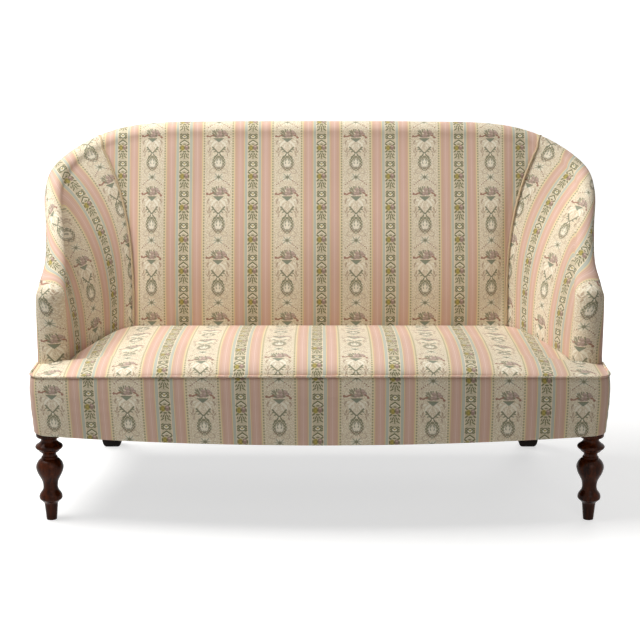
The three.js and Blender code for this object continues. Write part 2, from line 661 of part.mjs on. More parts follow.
// The plan line of a side rail's outer face, from the leg's block to the back post.
function sideRailLine(inset) {
  const start = blockBack + CLEARANCE;
  const end = postFront - CLEARANCE;
  const wall = Array.from({ length: SIDE_STEPS * 4 + 1 }, (_, k) => {
    const s = station(mix(ARM_END, SEAM_STATION, k / (SIDE_STEPS * 4)));
    const low = outsidePoint(s, (s.top - s.roll - RAIL_BOTTOM) / (s.top - s.roll - RIM)).point;
    const high = outsidePoint(s, (s.top - s.roll - RAIL_TOP) / (s.top - s.roll - RIM)).point;
    return new THREE.Vector2(Math.min(low.x, high.x, HALF), low.y);
  });
  return Array.from({ length: SIDE_STEPS + 1 }, (_, k) => {
    const y = mix(start, end, k / SIDE_STEPS);
    const after = Math.max(1, wall.findIndex((p) => p.y >= y));
    const [a, b] = [wall[after - 1], wall[after]];
    const x = y < a.y ? a.x : mix(a.x, b.x, (y - a.y) / (b.y - a.y));
    const turned = THREE.MathUtils.smoothstep(y, end - SIDE_RAIL_TURN, end);
    return new THREE.Vector2(mix(x - inset, postOuter - inset + RAIL_SETBACK, turned), y);
  });
}

// The front rail is bowed in front and less so behind, so that it is thinnest where it meets the legs.
const FRONT_RAIL_BOW_share = 0.75;
const bowAt = (x) => FRONT_BOW * Math.max(0, 1 - (x / cornerStart.x) ** 2);
const frontRailFront = (x) => RAIL_SETBACK - bowAt(x);
const frontRailBack = (x) => RAIL_SETBACK + FRONT_RAIL_THICK - FRONT_RAIL_BOW_share * bowAt(x);

const nearArmEnd = station(ARM_END - 0.5);
const armPost = {
  x: nearArmEnd.crest.x - nearArmEnd.roll + COVER + WING_PAD + 3 * CLEARANCE + ARM_POST / 2,
  y: station(ARM_END).crest.y,
};
const armPostFoot = {
  x: (HALF - RAIL_SETBACK - RAIL_THICK + armPost.x + ARM_POST / 2) / 2,
  y: armPost.y,
  z: RAIL_TOP,
};

const STUFF_RAIL_STATIONS = [8.5, 8, 7.5, 7, 6.5, 6, 5.5, 5];

// One edge in plan of the arm's stuffing rail, which follows the wall from the arm post and then runs
// straight to the back post. share is 0 at the edge against the hessian and 1 at the other.
function armStuffEdge(share) {
  const depth = WING_PAD + HESSIAN + COVER + 3 * CLEARANCE + share * ARM_STUFF_RAIL;
  const wall = STUFF_RAIL_STATIONS.map((u) => {
    const s = station(u);
    return s.inner.clone().addScaledVector(s.out, depth);
  });
  wall[0].y = armPost.y + ARM_POST / 2 + CLEARANCE;
  return [...wall, new THREE.Vector2(POST_X + (share - 0.5) * ARM_STUFF_RAIL, postFront - CLEARANCE)];
}

const joints = {
  frontRail: joint(blockInner - CLEARANCE, LEG_Y - LEG_BLOCK / 4, RAIL_MIDDLE, 1, 0, TENON_HEIGHT),
  sideRailFront: joint(LEG_X + LEG_BLOCK / 4, blockBack + CLEARANCE, RAIL_MIDDLE, 0, -1, TENON_HEIGHT),
  sideRailBack: joint(postOuter - RAIL_THICK / 2, postFront - CLEARANCE, RAIL_MIDDLE, 0, 1, TENON_HEIGHT),
  backRail: joint(postInner - CLEARANCE, backRailY, RAIL_MIDDLE, 1, 0, TENON_HEIGHT),
  backStuff: joint(postInner - CLEARANCE, backStuffY, STUFF_RAIL_MIDDLE, 1, 0, TENON_THICK),
};

// The profile of a turned front leg, from the floor up: radii as shares of the widest and heights as
// shares of the turned length.
const LEG_PROFILE_shares = [
  [0.4, 0],
  [0.41, 0.01],
  [0.48, 0.173],
  [0.5, 0.196],
  [0.7, 0.224],
  [0.86, 0.262],
  [0.8, 0.3],
  [0.58, 0.346],
  [0.55, 0.372],
  [0.62, 0.42],
  [0.86, 0.5],
  [1, 0.57],
  [0.96, 0.605],
  [0.81, 0.64],
  [0.66, 0.664],
  [0.49, 0.7],
  [0.48, 0.722],
  [0.62, 0.752],
  [0.97, 0.782],
  [1, 0.792],
  [0.8, 0.826],
  [0.6, 0.87],
  [0.57, 0.888],
  [0.72, 0.914],
  [0.86, 0.928],
  [0.87, 1],
];

// The front legs, turned below a square block that takes the rails.
function frontLegs() {
  const outline = [
    new THREE.Vector2(0, 0),
    ...LEG_PROFILE_shares.map(([r, z]) => new THREE.Vector2(r * LEG_RADIUS, z * LEG_TURNED)),
    new THREE.Vector2(0, LEG_TURNED),
  ];
  const turned = new THREE.LatheGeometry(outline, LEG_SIDES);
  turned.rotateX(Math.PI / 2);
  turned.translate(LEG_X, LEG_Y, 0);
  const half = LEG_BLOCK / 2;
  const low = LEG_TURNED - CLEARANCE;
  const square = block(LEG_X - half, LEG_X + half, LEG_Y - half, LEG_Y + half, low, RAIL_TOP);
  const leg = cutBy(joined(turned, square), socket(joints.frontRail), socket(joints.sideRailFront));
  addPair("front_leg", leg, MAHOGANY);
}

const postTip = new THREE.Vector3(POST_X, postCentre(POST_TOP).y, POST_TOP - CREST_RAIL / 4);

function backPosts() {
  const path = POST_PATH_shares.map(({ z, size }) => ({ centre: postCentre(z * POST_TOP), size }));
  const post = loft(
    path.map(({ centre, size }) => {
      const w = (POST_WIDTH * size) / 2;
      const d = (POST_DEPTH * size) / 2;
      const corner = (x, y) => centre.clone().add(new THREE.Vector3(x, y, 0));
      return [corner(w, d), corner(-w, d), corner(-w, -d), corner(w, -d)];
    }),
  );
  const sockets = [joints.sideRailBack, joints.backRail, joints.backStuff].map(socket);
  const seated = cutBy(post, ...sockets, crestRail(2 * CLEARANCE));
  addPair("back_post", joined(seated, peg(postTip)), DARK_WOOD);
}

const uprightFoot = new THREE.Vector3(UPRIGHT_X, backRailY, RAIL_TOP);
const uprightTip = lift(station(1).crest, station(1).top - station(1).roll - CREST_RAIL / 2).setX(UPRIGHT_X);

function seatRails() {
  const steps = Array.from({ length: 2 * FRONT_STEPS + 1 }, (_, k) => k / FRONT_STEPS - 1);
  const shoulder = blockInner - CLEARANCE;
  const line = (edge) => steps.map((share) => new THREE.Vector2(share * shoulder, edge(share * shoulder)));
  const rail = prism([...line(frontRailFront), ...line(frontRailBack).reverse()], RAIL_BOTTOM, RAIL_TOP);
  const frontTongue = tongue(joints.frontRail);
  add("front_rail", joined(rail, frontTongue, mirrored(frontTongue)), BEECH);

  const half = postInner - CLEARANCE;
  const thick = RAIL_THICK / 2;
  const back = block(-half, half, backRailY - thick, backRailY + thick, RAIL_BOTTOM, RAIL_TOP);
  const backTongue = tongue(joints.backRail);
  const pegs = [uprightFoot, new THREE.Vector3(-UPRIGHT_X, uprightFoot.y, uprightFoot.z)];
  const holes = pegs.map((p) => peg(p, CLEARANCE));
  add("back_rail", cutBy(joined(back, backTongue, mirrored(backTongue)), ...holes), BEECH);

  const inner = sideRailLine(RAIL_SETBACK + RAIL_THICK).reverse();
  const side = prism([...sideRailLine(RAIL_SETBACK), ...inner], RAIL_BOTTOM, RAIL_TOP);
  const whole = joined(side, tongue(joints.sideRailFront), tongue(joints.sideRailBack));
  addPair("side_rail", cutBy(whole, peg(armPostFoot, CLEARANCE)), BEECH);
}

const ROLL_FACET_share = Math.cos(Math.PI / 8); // how close the flats of the roll's facets come to its middle
const RAIL_FLAT_share = 0.45; // the flats of a roll rail, of its thickness

// A rail inside the rolled edge: a square section with its corners taken off, as thick as the stuffing over
// it allows. extra makes it larger all round, to cut room for it in other pieces.
function rollRail(stations, size, extra) {
  const loops = stations.map((u) => {
    const s = station(Math.abs(u));
    const side = u < 0 ? -1 : 1;
    const room = s.roll - padDepth({ u: Math.abs(u), share: 1 });
    const fit = 2 * (room * ROLL_FACET_share - CLEARANCE) * Math.cos(Math.atan(RAIL_FLAT_share));
    const half = Math.min(size, fit) / 2 + extra;
    const flat = half * RAIL_FLAT_share;
    const out = new THREE.Vector3(s.out.x * side, s.out.y, 0);
    const centre = new THREE.Vector3(s.crest.x * side, s.crest.y, s.top - s.roll);
    const corner = (a, b) => centre.clone().addScaledVector(out, a).addScaledVector(UP, b);
    const upper = [corner(half, flat), corner(flat, half), corner(-flat, half), corner(-half, flat)];
    const lower = [corner(-half, -flat), corner(-flat, -half), corner(flat, -half), corner(half, -flat)];
    return [...upper, ...lower];
  });
  return loft(loops);
}
const CREST_END = 3.25; // the station where the crest rail meets the arm rails
const crestRail = (extra) =>
  rollRail(symmetric([...BACK_STATIONS, CREST_END]), CREST_RAIL, extra);

const SPLICE_STATIONS = 0.2; // how far either side the run of the splice is read, in stations

// The tongue that holds an arm rail in the end of the crest rail.
function splice(gap) {
  const centre = (u) => {
    const s = station(u);
    return lift(s.crest, s.top - s.roll);
  };
  const way = centre(CREST_END + SPLICE_STATIONS).sub(centre(CREST_END - SPLICE_STATIONS)).normalize();
  const from = centre(CREST_END).addScaledVector(way, -TENON - gap);
  const to = centre(CREST_END).addScaledVector(way, TENON);
  return board(from, to, TENON_THICK + 2 * gap, TENON_THICK + 2 * gap);
}

// The tip of the arm post is at the underside of the arm rail.
const armEnd = station(ARM_END);
const armRailUnder = armEnd.top - armEnd.roll - ARM_RAIL / 2;
const armPostTip = new THREE.Vector3(armPost.x, armPost.y + ARM_POST / 4, armRailUnder);

function upperRails() {
  const tips = [postTip, uprightTip].map((p) => peg(p, CLEARANCE));
  const holes = [...tips, ...tips.map(mirrored), splice(CLEARANCE), mirrored(splice(CLEARANCE))];
  add("crest_rail", cutBy(crestRail(0), ...holes), BEECH);

  const gap = CLEARANCE / station(SEAM_STATION).crest.distanceTo(station(SEAM_STATION + 1).crest);
  const rail = rollRail([CREST_END + gap, ...WING_STATIONS.slice(1)], ARM_RAIL, 0);
  addPair("arm_rail", cutBy(joined(rail, splice(0)), peg(armPostTip, CLEARANCE)), BEECH);
}
function armPosts() {
  const half = ARM_POST / 2;
  const { x, y } = armPost;
  const stump = block(x - half, x + half, y - half, y + half, RAIL_TOP + CLEARANCE, armPostTip.z - CLEARANCE);
  addPair("arm_post", joined(stump, peg(armPostFoot), peg(armPostTip)), BEECH);
}

// Rails low in the back and arms, to which the inside covers are tacked.
function stuffRails() {
  const top = STUFF_RAIL_BOTTOM + STUFF_RAIL_HEIGHT;
  const end = postInner - CLEARANCE;
  const half = STUFF_RAIL / 2;
  const rail = block(-end, end, backStuffY - half, backStuffY + half, STUFF_RAIL_BOTTOM, top);
  const ends = tongue(joints.backStuff);
  add("back_stuff_rail", joined(rail, ends, mirrored(ends)), BEECH);

  const outline = [...armStuffEdge(0), ...armStuffEdge(1).reverse()];
  addPair("arm_stuff_rail", prism(outline, STUFF_RAIL_BOTTOM, top), BEECH);
}

// Uprights in the back, halved over the stuffing rail that crosses them.
function backUprights() {
  const half = UPRIGHT_WIDTH / 2;
  const thick = UPRIGHT_THICK / 2;
  const loop = ({ x, y, z }, rise) => {
    const corner = (dx, dy) => new THREE.Vector3(x + dx, y + dy, z + rise);
    return [corner(half, -thick), corner(half, thick), corner(-half, thick), corner(-half, -thick)];
  };
  const shaft = loft([loop(uprightFoot, CLEARANCE), loop(uprightTip, -CLEARANCE)]);
  const reach = STUFF_RAIL / 2 + CLEARANCE;
  const low = STUFF_RAIL_BOTTOM - CLEARANCE;
  const high = STUFF_RAIL_BOTTOM + STUFF_RAIL_HEIGHT + CLEARANCE;
  const notch = block(0, 2 * UPRIGHT_X, backStuffY - 2 * reach, backStuffY + reach, low, high);
  addPair("back_upright", joined(cutBy(shaft, notch), peg(uprightFoot), peg(uprightTip)), BEECH);
}

// Braces glued across the corners of the seat frame.
function cornerBraces() {
  const top = RAIL_TOP - CLEARANCE;
  const gap = 4 * CLEARANCE;
  const frontEdge = [1, 0.5, 0].map((share) => {
    const x = blockInner - gap - share * BRACE_REACH;
    return new THREE.Vector2(x, frontRailBack(x) + gap);
  });
  const sideInner = sideRailLine(RAIL_SETBACK + RAIL_THICK + gap);
  const front = [
    ...frontEdge,
    new THREE.Vector2(blockInner - gap, blockBack + gap),
    new THREE.Vector2(sideInner[0].x, blockBack + gap),
    sideInner[2],
  ];
  addPair("front_brace", prism(front, top - BRACE_HEIGHT, top), BEECH);
  const x = postInner - gap;
  const y = backRailY - RAIL_THICK / 2 - CLEARANCE;
  const back = [
    new THREE.Vector2(x - BRACE_REACH, y),
    new THREE.Vector2(x, y - BRACE_REACH),
    new THREE.Vector2(x, y),
  ];
  addPair("back_brace", prism(back, top - BRACE_HEIGHT, top), BEECH);
}

const WEB_TOP = RAIL_BOTTOM - CLEARANCE;
const springX = (k) => (k - (SPRING_COLUMNS - 1) / 2) * SPRING_PITCH;
const railMiddleX = (y) => sideRailLine(RAIL_SETBACK + RAIL_THICK / 2).find((p) => p.y >= y).x;

function webbing() {
  const half = WEB_WIDTH / 2;
  for (let k = 0; k < SPRING_COLUMNS; k++) {
    const x = springX(k);
    const front = mix(frontRailFront(x), frontRailBack(x), 0.5);
    const web = block(x - half, x + half, front, backRailY, WEB_TOP - WEB_THICK, WEB_TOP);
    add(`seat_web_${k + 1}`, web, JUTE);
  }
  const top = WEB_TOP - WEB_THICK - CLEARANCE;
  SPRING_ROWS.forEach((y, k) => {
    const end = railMiddleX(y);
    add(`cross_web_${k + 1}`, block(-end, end, y - half, y + half, top - WEB_THICK, top), JUTE);
  });
}

const CLOSED_share = 0.12; // of a spring's wire, closed down at each end
const CLOSING_share = 0.9; // how flat the closed turns lie

// An hourglass coil spring standing on the webs under the hessian, with its end turns closed down.
function coilSpring(x, y) {
  const wire = SPRING_WIRE / 2;
  const around = [0, 1, 2, 3].map((k) => (k * Math.PI) / 2);
  const over = (a) => hessianTop(x + SPRING_RADIUS * Math.cos(a), y + SPRING_RADIUS * Math.sin(a));
  const bottom = WEB_TOP + CLEARANCE + wire;
  const top = Math.min(...around.map(over)) - HESSIAN - SPRING_SLACK - wire;
  const steps = SPRING_TURNS * SPRING_TURN_STEPS;
  const line = Array.from({ length: steps + 1 }, (_, i) => {
    const share = i / steps;
    const turn = share * SPRING_TURNS * 2 * Math.PI;
    const radius = mix(SPRING_WAIST, SPRING_RADIUS, Math.abs(2 * share - 1));
    const climb = THREE.MathUtils.clamp((share - CLOSED_share) / (1 - 2 * CLOSED_share), 0, 1);
    const z = mix(bottom, top, mix(share, climb, CLOSING_share));
    return new THREE.Vector3(x + radius * Math.cos(turn), y + radius * Math.sin(turn), z);
  });
  return tube(line, wire, SPRING_SIDES);
}

function springs() {
  const columns = Array.from({ length: SPRING_COLUMNS }, (_, k) => springX(k));
  const places = SPRING_ROWS.flatMap((y) => columns.map((x) => [x, y]));
  places.forEach(([x, y], i) => add(`seat_spring_${i + 1}`, coilSpring(x, y), STEEL));
}

// Room round an upright piece, to cut it out of the sheets over and under the seat frame.
function roomFor(x, y, width, depth, z0, z1) {
  const w = width / 2 + SEAT_GAP;
  const d = depth / 2 + SEAT_GAP;
  return block(x - w, x + w, y - d, y + d, z0, z1);
}

function roomForPost(z0, z1) {
  const { x, y } = postCentre((z0 + z1) / 2);
  return roomFor(x, y, POST_WIDTH + 2 * SEAT_GAP, POST_DEPTH + 2 * SEAT_GAP, z0, z1);
}

const HESSIAN_COLUMN_shares = [0, 0.2, 0.4, 0.6, 0.78, 0.92, 1];
const ON_RAIL_share = 2; // the last column, over the middle of a side rail

// The hessian over the springs, tacked along the middle of each rail's top.
function seatHessian() {
  const columns = symmetric([...HESSIAN_COLUMN_shares, ON_RAIL_share]);
  const wall = station(0).inner.y;
  const rows = Array.from({ length: HESSIAN_ROWS + 1 }, (_, k) => k / HESSIAN_ROWS);
  const place = (a, share) => {
    const onRail = Math.abs(a) === ON_RAIL_share;
    const side = onRail ? railMiddleX(share * (postFront - SEAT_GAP)) : Math.abs(a) * wallX(share * wall);
    const x = Math.sign(a) * side;
    return new THREE.Vector2(x, mix(frontRailBack(x), wall, share));
  };
  const grid = (drop) =>
    columns.map((a) => {
      const middle = rows.map((share) => place(a, share));
      const first = middle[0].clone().setY(mix(frontRailFront(middle[0].x), frontRailBack(middle[0].x), 0.5));
      const last = middle.at(-1).clone().setY(backRailY);
      return [first, ...middle, last].map((p) => lift(p, hessianTop(p.x, p.y) - drop));
    });
  const sheet = slab(grid(0), grid(HESSIAN));
  const [low, high] = [RAIL_TOP - SPRING_SWELL, RAIL_TOP + SPRING_SWELL];
  const holes = [
    roomFor(armPost.x, armPost.y, ARM_POST, ARM_POST, low, high),
    roomFor(UPRIGHT_X, backRailY, UPRIGHT_WIDTH, UPRIGHT_THICK, low, high),
    roomForPost(low, high),
  ];
  add("seat_hessian", cutBy(sheet, ...holes, ...holes.map(mirrored)), JUTE);
}

// The dark lining tacked under the frame, cut round the legs.
function bottomLining() {
  const front = frontRuns.slice(middleColumn).map((run) => frontPoint(run, RAIL_SETBACK));
  const side = sideRailLine(RAIL_SETBACK);
  const rear = new THREE.Vector2(postOuter, backRailY + RAIL_THICK / 2);
  const right = [...front.map((p) => new THREE.Vector2(p.x, p.y)), ...side, rear];
  const outline = [...right, ...right.slice(1).reverse().map((p) => new THREE.Vector2(-p.x, p.y))];
  const top = WEB_TOP - 2 * WEB_THICK - 2 * CLEARANCE;
  const [low, high] = [top - LEG_BLOCK, top + LEG_BLOCK];
  const holes = [roomFor(LEG_X, LEG_Y, LEG_BLOCK, LEG_BLOCK, low, high), roomForPost(low, high)];
  const sheet = prism(outline, top - LINING, top);
  add("bottom_lining", cutBy(sheet, ...holes, ...holes.map(mirrored)), LINEN);
}

insideOfTheWall();
outsideOfTheWall();
seat();
frontBorder();
piping();
frontLegs();
backPosts();
seatRails();
armPosts();
upperRails();
stuffRails();
backUprights();
cornerBraces();
webbing();
springs();
seatHessian();
bottomLining();

// Centre the settee over its footprint.
const bounds = new THREE.Box3().setFromObject(settee);
settee.position.y = -(bounds.min.y + bounds.max.y) / 2;

export default settee;
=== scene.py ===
import json
import math
from functools import partialmethod

import bmesh
import bpy
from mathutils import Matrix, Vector, noise


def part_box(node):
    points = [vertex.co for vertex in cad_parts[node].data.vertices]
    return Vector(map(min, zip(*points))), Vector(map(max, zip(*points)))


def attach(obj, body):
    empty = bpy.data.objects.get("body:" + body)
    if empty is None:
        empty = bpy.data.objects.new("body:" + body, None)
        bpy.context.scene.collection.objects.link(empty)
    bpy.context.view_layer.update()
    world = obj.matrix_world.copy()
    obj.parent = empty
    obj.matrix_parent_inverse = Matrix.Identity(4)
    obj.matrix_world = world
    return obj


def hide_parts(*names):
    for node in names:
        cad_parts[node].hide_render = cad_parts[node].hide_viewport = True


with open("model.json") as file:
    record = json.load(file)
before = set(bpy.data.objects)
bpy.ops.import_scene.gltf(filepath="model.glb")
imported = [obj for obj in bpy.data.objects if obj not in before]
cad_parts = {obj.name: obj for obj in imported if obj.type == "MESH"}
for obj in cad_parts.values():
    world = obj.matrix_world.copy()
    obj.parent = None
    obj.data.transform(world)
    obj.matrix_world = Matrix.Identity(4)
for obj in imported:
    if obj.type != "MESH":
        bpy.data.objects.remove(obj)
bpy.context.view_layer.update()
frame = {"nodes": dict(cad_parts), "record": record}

# An upholstered settee with a tub-shaped back, in a striped and figured cloth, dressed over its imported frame.
# Metres. X runs across, the front faces -Y and +Z is up. The functions of the wall and the seat measure Y
# from the front corners of the seat, and place() moves their points into the frame.
MM = 0.001
WIDTH = 1330 * MM  # over the front corners of the seat
DEPTH = 640 * MM  # from the front corners to the back of the crest
HEIGHT = 874 * MM
SEAT_EDGE = 355 * MM
RIM = 215 * MM
FRONT_BOW = 60 * MM
EDGE_RISE = 20 * MM
RIM_DIP = 3 * MM
SEAT_CORNER = 40 * MM
SEAT_RISE = 18 * MM
SEAT_CROWN = 44 * MM
CROWN_POWER = 0.55  # under 1, so that the seat is highest in front of its middle
ROLL = 30 * MM
GAP = 0.3 * MM
SEAT_GAP = 0.9 * MM
COVER = 1.5 * MM
BACK_PAD = 69.9 * MM
WING_PAD = 18 * MM
NOSE_PAD = 10 * MM
ROLL_PAD = 9 * MM
ARM_ROLL_PAD = 6 * MM
WELT = 3 * MM
SEAM_PULL = 4 * MM
SEAM_REACH = 0.2  # in stations
LUMBAR = 24 * MM  # how far the back's padding stands forward at its fullest
LUMBAR_HEIGHT = 0.36  # how high up that is, as a share of the face
CREASE = 2 * MM  # how far the seat is drawn down where it meets the back
SIDE_CREASE = 7 * MM  # and where it meets the arms
CREASE_REACH = 22 * MM
TUCK = 320 * MM
BELLY = 6 * MM  # how far the border swells out, fullest high up
BELLY_POWER = 0.55
BORDER_TUCK = 5 * MM  # how far it is drawn in close under the welt
TUCK_REACH = 6 * MM
LEG_INSET = 46 * MM
HALF = WIDTH / 2
SIDES = (("right", 1), ("left", -1))
NOSE_TURN = math.radians(160)
NOSE_ROLL = 90  # how far round the roll the inside's cover goes at the arm's front, in degrees
WALL_ROLL = 150  # and elsewhere
LEAN_EVEN = 0.35  # the share of the inside's lean that rises evenly; the rest gathers higher up
LEAN_POWER = 1.2
SEAM_CUT = 0.004  # how far past the seam an arm's covers start, in stations
# The swells of the stuffing: a seed, how far apart they lie and how deep they are.
WALL_SWELL = (3, 0.16, 2.2 * MM)
SEAT_SWELL = (9, 0.2, 3 * MM)
BORDER_SWELL = (5, 0.12, 1.2 * MM)

leg_low, leg_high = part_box("front_leg_right")
CORNERS_Y = (leg_low[1] + leg_high[1]) / 2 - LEG_INSET

# The wall's stations from the middle of the back to the front of the arm, as in the frame: shares of half
# the width and of the depth for the foot, the crest and the foot outside, the crest's height as a share of
# the rise from the seat's edge, the roll as a share of ROLL, and the power by which the inside leans out.
STATION_shares = (
    # foot x, foot y, crest x, crest y, crest z, outer x, outer y, roll, flare
    (0, 0.706, 0, 0.95, 1, 0, 0.888, 1, 1),
    (0.361, 0.706, 0.368, 0.95, 0.998, 0.361, 0.888, 1, 1),
    (0.624, 0.706, 0.669, 0.947, 0.987, 0.632, 0.888, 1, 1.3),
    (0.713, 0.698, 0.85, 0.931, 0.932, 0.85, 0.888, 0.95, 2.9),
    (0.783, 0.6375, 0.976, 0.836, 0.832, 0.93, 0.862, 0.8, 2.5),
    (0.835, 0.509, 0.998, 0.6875, 0.738, 0.928, 0.6875, 0.7, 1.8),
    (0.869, 0.409, 0.972, 0.516, 0.603, 0.945, 0.523, 0.72, 1.6),
    (0.89, 0.347, 0.952, 0.375, 0.478, 0.968, 0.375, 0.82, 1.4),
    (0.899, 0.289, 0.951, 0.281, 0.401, 0.988, 0.278, 1.06, 1.2),
    (0.899, 0.231, 0.952, 0.231, 0.364, 1.003, 0.231, 1.14, 1),
)
ARM_END = len(STATION_shares) - 1
SEAM = 3
NOSE = ARM_END + 1
BACK_STATIONS = (0, 0.5, 1, 1.6, 2.2, 2.6, 3)
COLUMN_shares = (0, 0.18, 0.36, 0.56, 0.78, 0.93, 1)

# How finely the pieces are cut.
FACE_ROWS = 40
ROLL_ROWS = 14
OUTSIDE_ROWS = 24
STATION_STEPS = 20
SEAT_COLUMNS = 12
SEAT_ROWS = 10


def mix(a, b, t):
    return a + (b - a) * t


def clamp(t):
    return max(0.0, min(1.0, t))


def smooth(t, low, high):
    t = clamp((t - low) / (high - low))
    return t * t * (3 - 2 * t)


def place(point):
    return Vector((point[0], point[1] + CORNERS_Y, point[2]))


# The wall of the back and arms.
def curve(values, spot):
    """A smooth curve through a list of numbers or places, at a spot counted along the list."""
    last = len(values) - 1
    k = min(int(spot), last - 1)
    f = spot - k
    p1 = values[k]
    p2 = values[k + 1]
    p0 = values[k - 1] if k > 0 else 2 * p1 - p2
    p3 = values[k + 2] if k + 2 <= last else 2 * p2 - p1
    cubic = 3 * p1 - p0 - 3 * p2 + p3
    square = 2 * p0 - 5 * p1 + 4 * p2 - p3
    return 0.5 * (2 * p1 + (p2 - p0) * f + square * f * f + cubic * f * f * f)


def through(column, u):
    return curve([row[column] for row in STATION_shares], u)


def plan(column, u):
    return Vector((through(column, u) * HALF, through(column + 1, u) * DEPTH))


class Station:
    """The wall at one station; past ARM_END it turns round the arm's rounded front."""

    def __init__(self, u):
        on_wall = min(u, ARM_END)
        self.inner = plan(0, on_wall)
        self.crest = plan(2, on_wall)
        self.outer = plan(5, on_wall)
        self.top = SEAT_EDGE + through(4, on_wall) * (HEIGHT - SEAT_EDGE)
        self.roll = through(7, on_wall) * ROLL
        self.flare = through(8, on_wall)
        step = 1e-3
        along = plan(2, min(on_wall + step, ARM_END)) - plan(2, max(on_wall - step, 0))
        along.normalize()
        self.out = Vector((-along.y, along.x))
        # Near the arm's front the way out swings to square across, so that the nose joins on smoothly.
        square = smooth(on_wall, ARM_END - 0.5, ARM_END)
        self.out = self.out.lerp(Vector((1, 0)), square).normalized()
        if u > ARM_END:
            turn = (u - ARM_END) * NOSE_TURN
            reach = self.inner.x - self.crest.x
            self.out = Vector((math.cos(turn), math.sin(turn)))
            self.inner = self.crest + self.out * reach


def seat_line(y):
    back = STATION_shares[0][1] * DEPTH
    front = STATION_shares[ARM_END][1] * DEPTH
    return SEAT_EDGE + SEAT_RISE * clamp((y - front) / (back - front))


def face_point(s, h):
    start = s.crest - s.out * s.roll
    x = mix(s.inner.x, start.x, h**s.flare)
    y = mix(s.inner.y, start.y, LEAN_EVEN * h + (1 - LEAN_EVEN) * h**LEAN_POWER)
    return Vector((x, y, mix(seat_line(s.inner.y), s.top - s.roll, h))), Vector((-s.out.x, -s.out.y, 0))


def roll_point(s, angle):
    away = Vector((-s.out.x * math.cos(angle), -s.out.y * math.cos(angle), math.sin(angle)))
    return Vector((s.crest.x, s.crest.y, s.top - s.roll)) + away * s.roll, away


def outside_point(s, h):
    spot = (s.crest + s.out * s.roll).lerp(s.outer, h)
    return Vector((spot.x, spot.y, mix(s.top - s.roll, RIM, h))), Vector((s.out.x, s.out.y, 0))


def roll_end(u):
    return math.radians(mix(NOSE_ROLL, WALL_ROLL, clamp(ARM_END - u)))


def inside_profile(u):
    """Rows of (point, away, share of the face) from the tuck behind the seat to the end of the roll."""
    s = Station(u)
    foot, away = face_point(s, 0)
    rows = [(Vector((foot.x, foot.y, TUCK)), away, 0)]
    for k in range(FACE_ROWS + 1):
        rows.append((*face_point(s, k / FACE_ROWS), k / FACE_ROWS))
    for k in range(1, ROLL_ROWS + 1):
        rows.append((*roll_point(s, roll_end(u) * k / ROLL_ROWS), 1))
    return rows


def outside_profile(u):
    """Rows of (point, away) from the end of the roll down to the rim."""
    s = Station(min(u, ARM_END))
    if u > ARM_END:
        turn = (u - ARM_END) * (math.pi - NOSE_TURN)
        s.out = Vector((math.cos(turn), -math.sin(turn)))
        s.outer = s.crest + s.out * s.roll
    start = roll_end(u)
    rows = [roll_point(s, mix(start, math.pi, k / ROLL_ROWS)) for k in range(ROLL_ROWS)]
    return rows + [outside_point(s, k / OUTSIDE_ROWS) for k in range(OUTSIDE_ROWS + 1)]


def stations(start, end, per_station=STATION_STEPS):
    count = max(2, round((end - start) * per_station))
    return [mix(start, end, k / count) for k in range(count + 1)]


def pad_depth(u, share):
    """How deep the cover and stuffing reach below the skin."""
    to_arm = smooth(u, SEAM, SEAM + 2)
    roll = mix(ROLL_PAD, ARM_ROLL_PAD, to_arm)
    full = NOSE_PAD if u > ARM_END else mix(BACK_PAD, WING_PAD, to_arm)
    thin = mix(share, smooth(share, 0.5, 1), to_arm)
    return COVER + GAP + mix(full, roll, thin)


# Meshes.
def add_object(name, data):
    made = bpy.data.objects.new(name, data)
    bpy.context.scene.collection.objects.link(made)
    return made


def dress_mesh(name, mesh, material, sharp):
    """An object from a mesh, smooth except where its faces meet at more than an angle."""
    mesh.polygons.foreach_set("use_smooth", [True] * len(mesh.polygons))
    mesh.set_sharp_from_angle(angle=math.radians(sharp))
    mesh.materials.append(material)
    return add_object(name, mesh)


def give_mesh(name, points, faces, uvs, material, sharp=50):
    """An object from placed points, faces and, on cloth, one UV for every point."""
    mesh = bpy.data.meshes.new(name)
    mesh.from_pydata([tuple(p) for p in points], [], faces)
    mesh.validate()
    if uvs:
        layer = mesh.uv_layers.new(name="cloth")
        for loop in mesh.loops:
            layer.data[loop.index].uv = uvs[loop.vertex_index]
    bm = bmesh.new()
    bm.from_mesh(mesh)
    bmesh.ops.remove_doubles(bm, verts=bm.verts, dist=1e-5)
    bmesh.ops.recalc_face_normals(bm, faces=bm.faces)
    if bm.calc_volume(signed=True) < 0:
        bmesh.ops.reverse_faces(bm, faces=bm.faces)
    bm.to_mesh(mesh)
    bm.free()
    return dress_mesh(name, mesh, material, sharp)


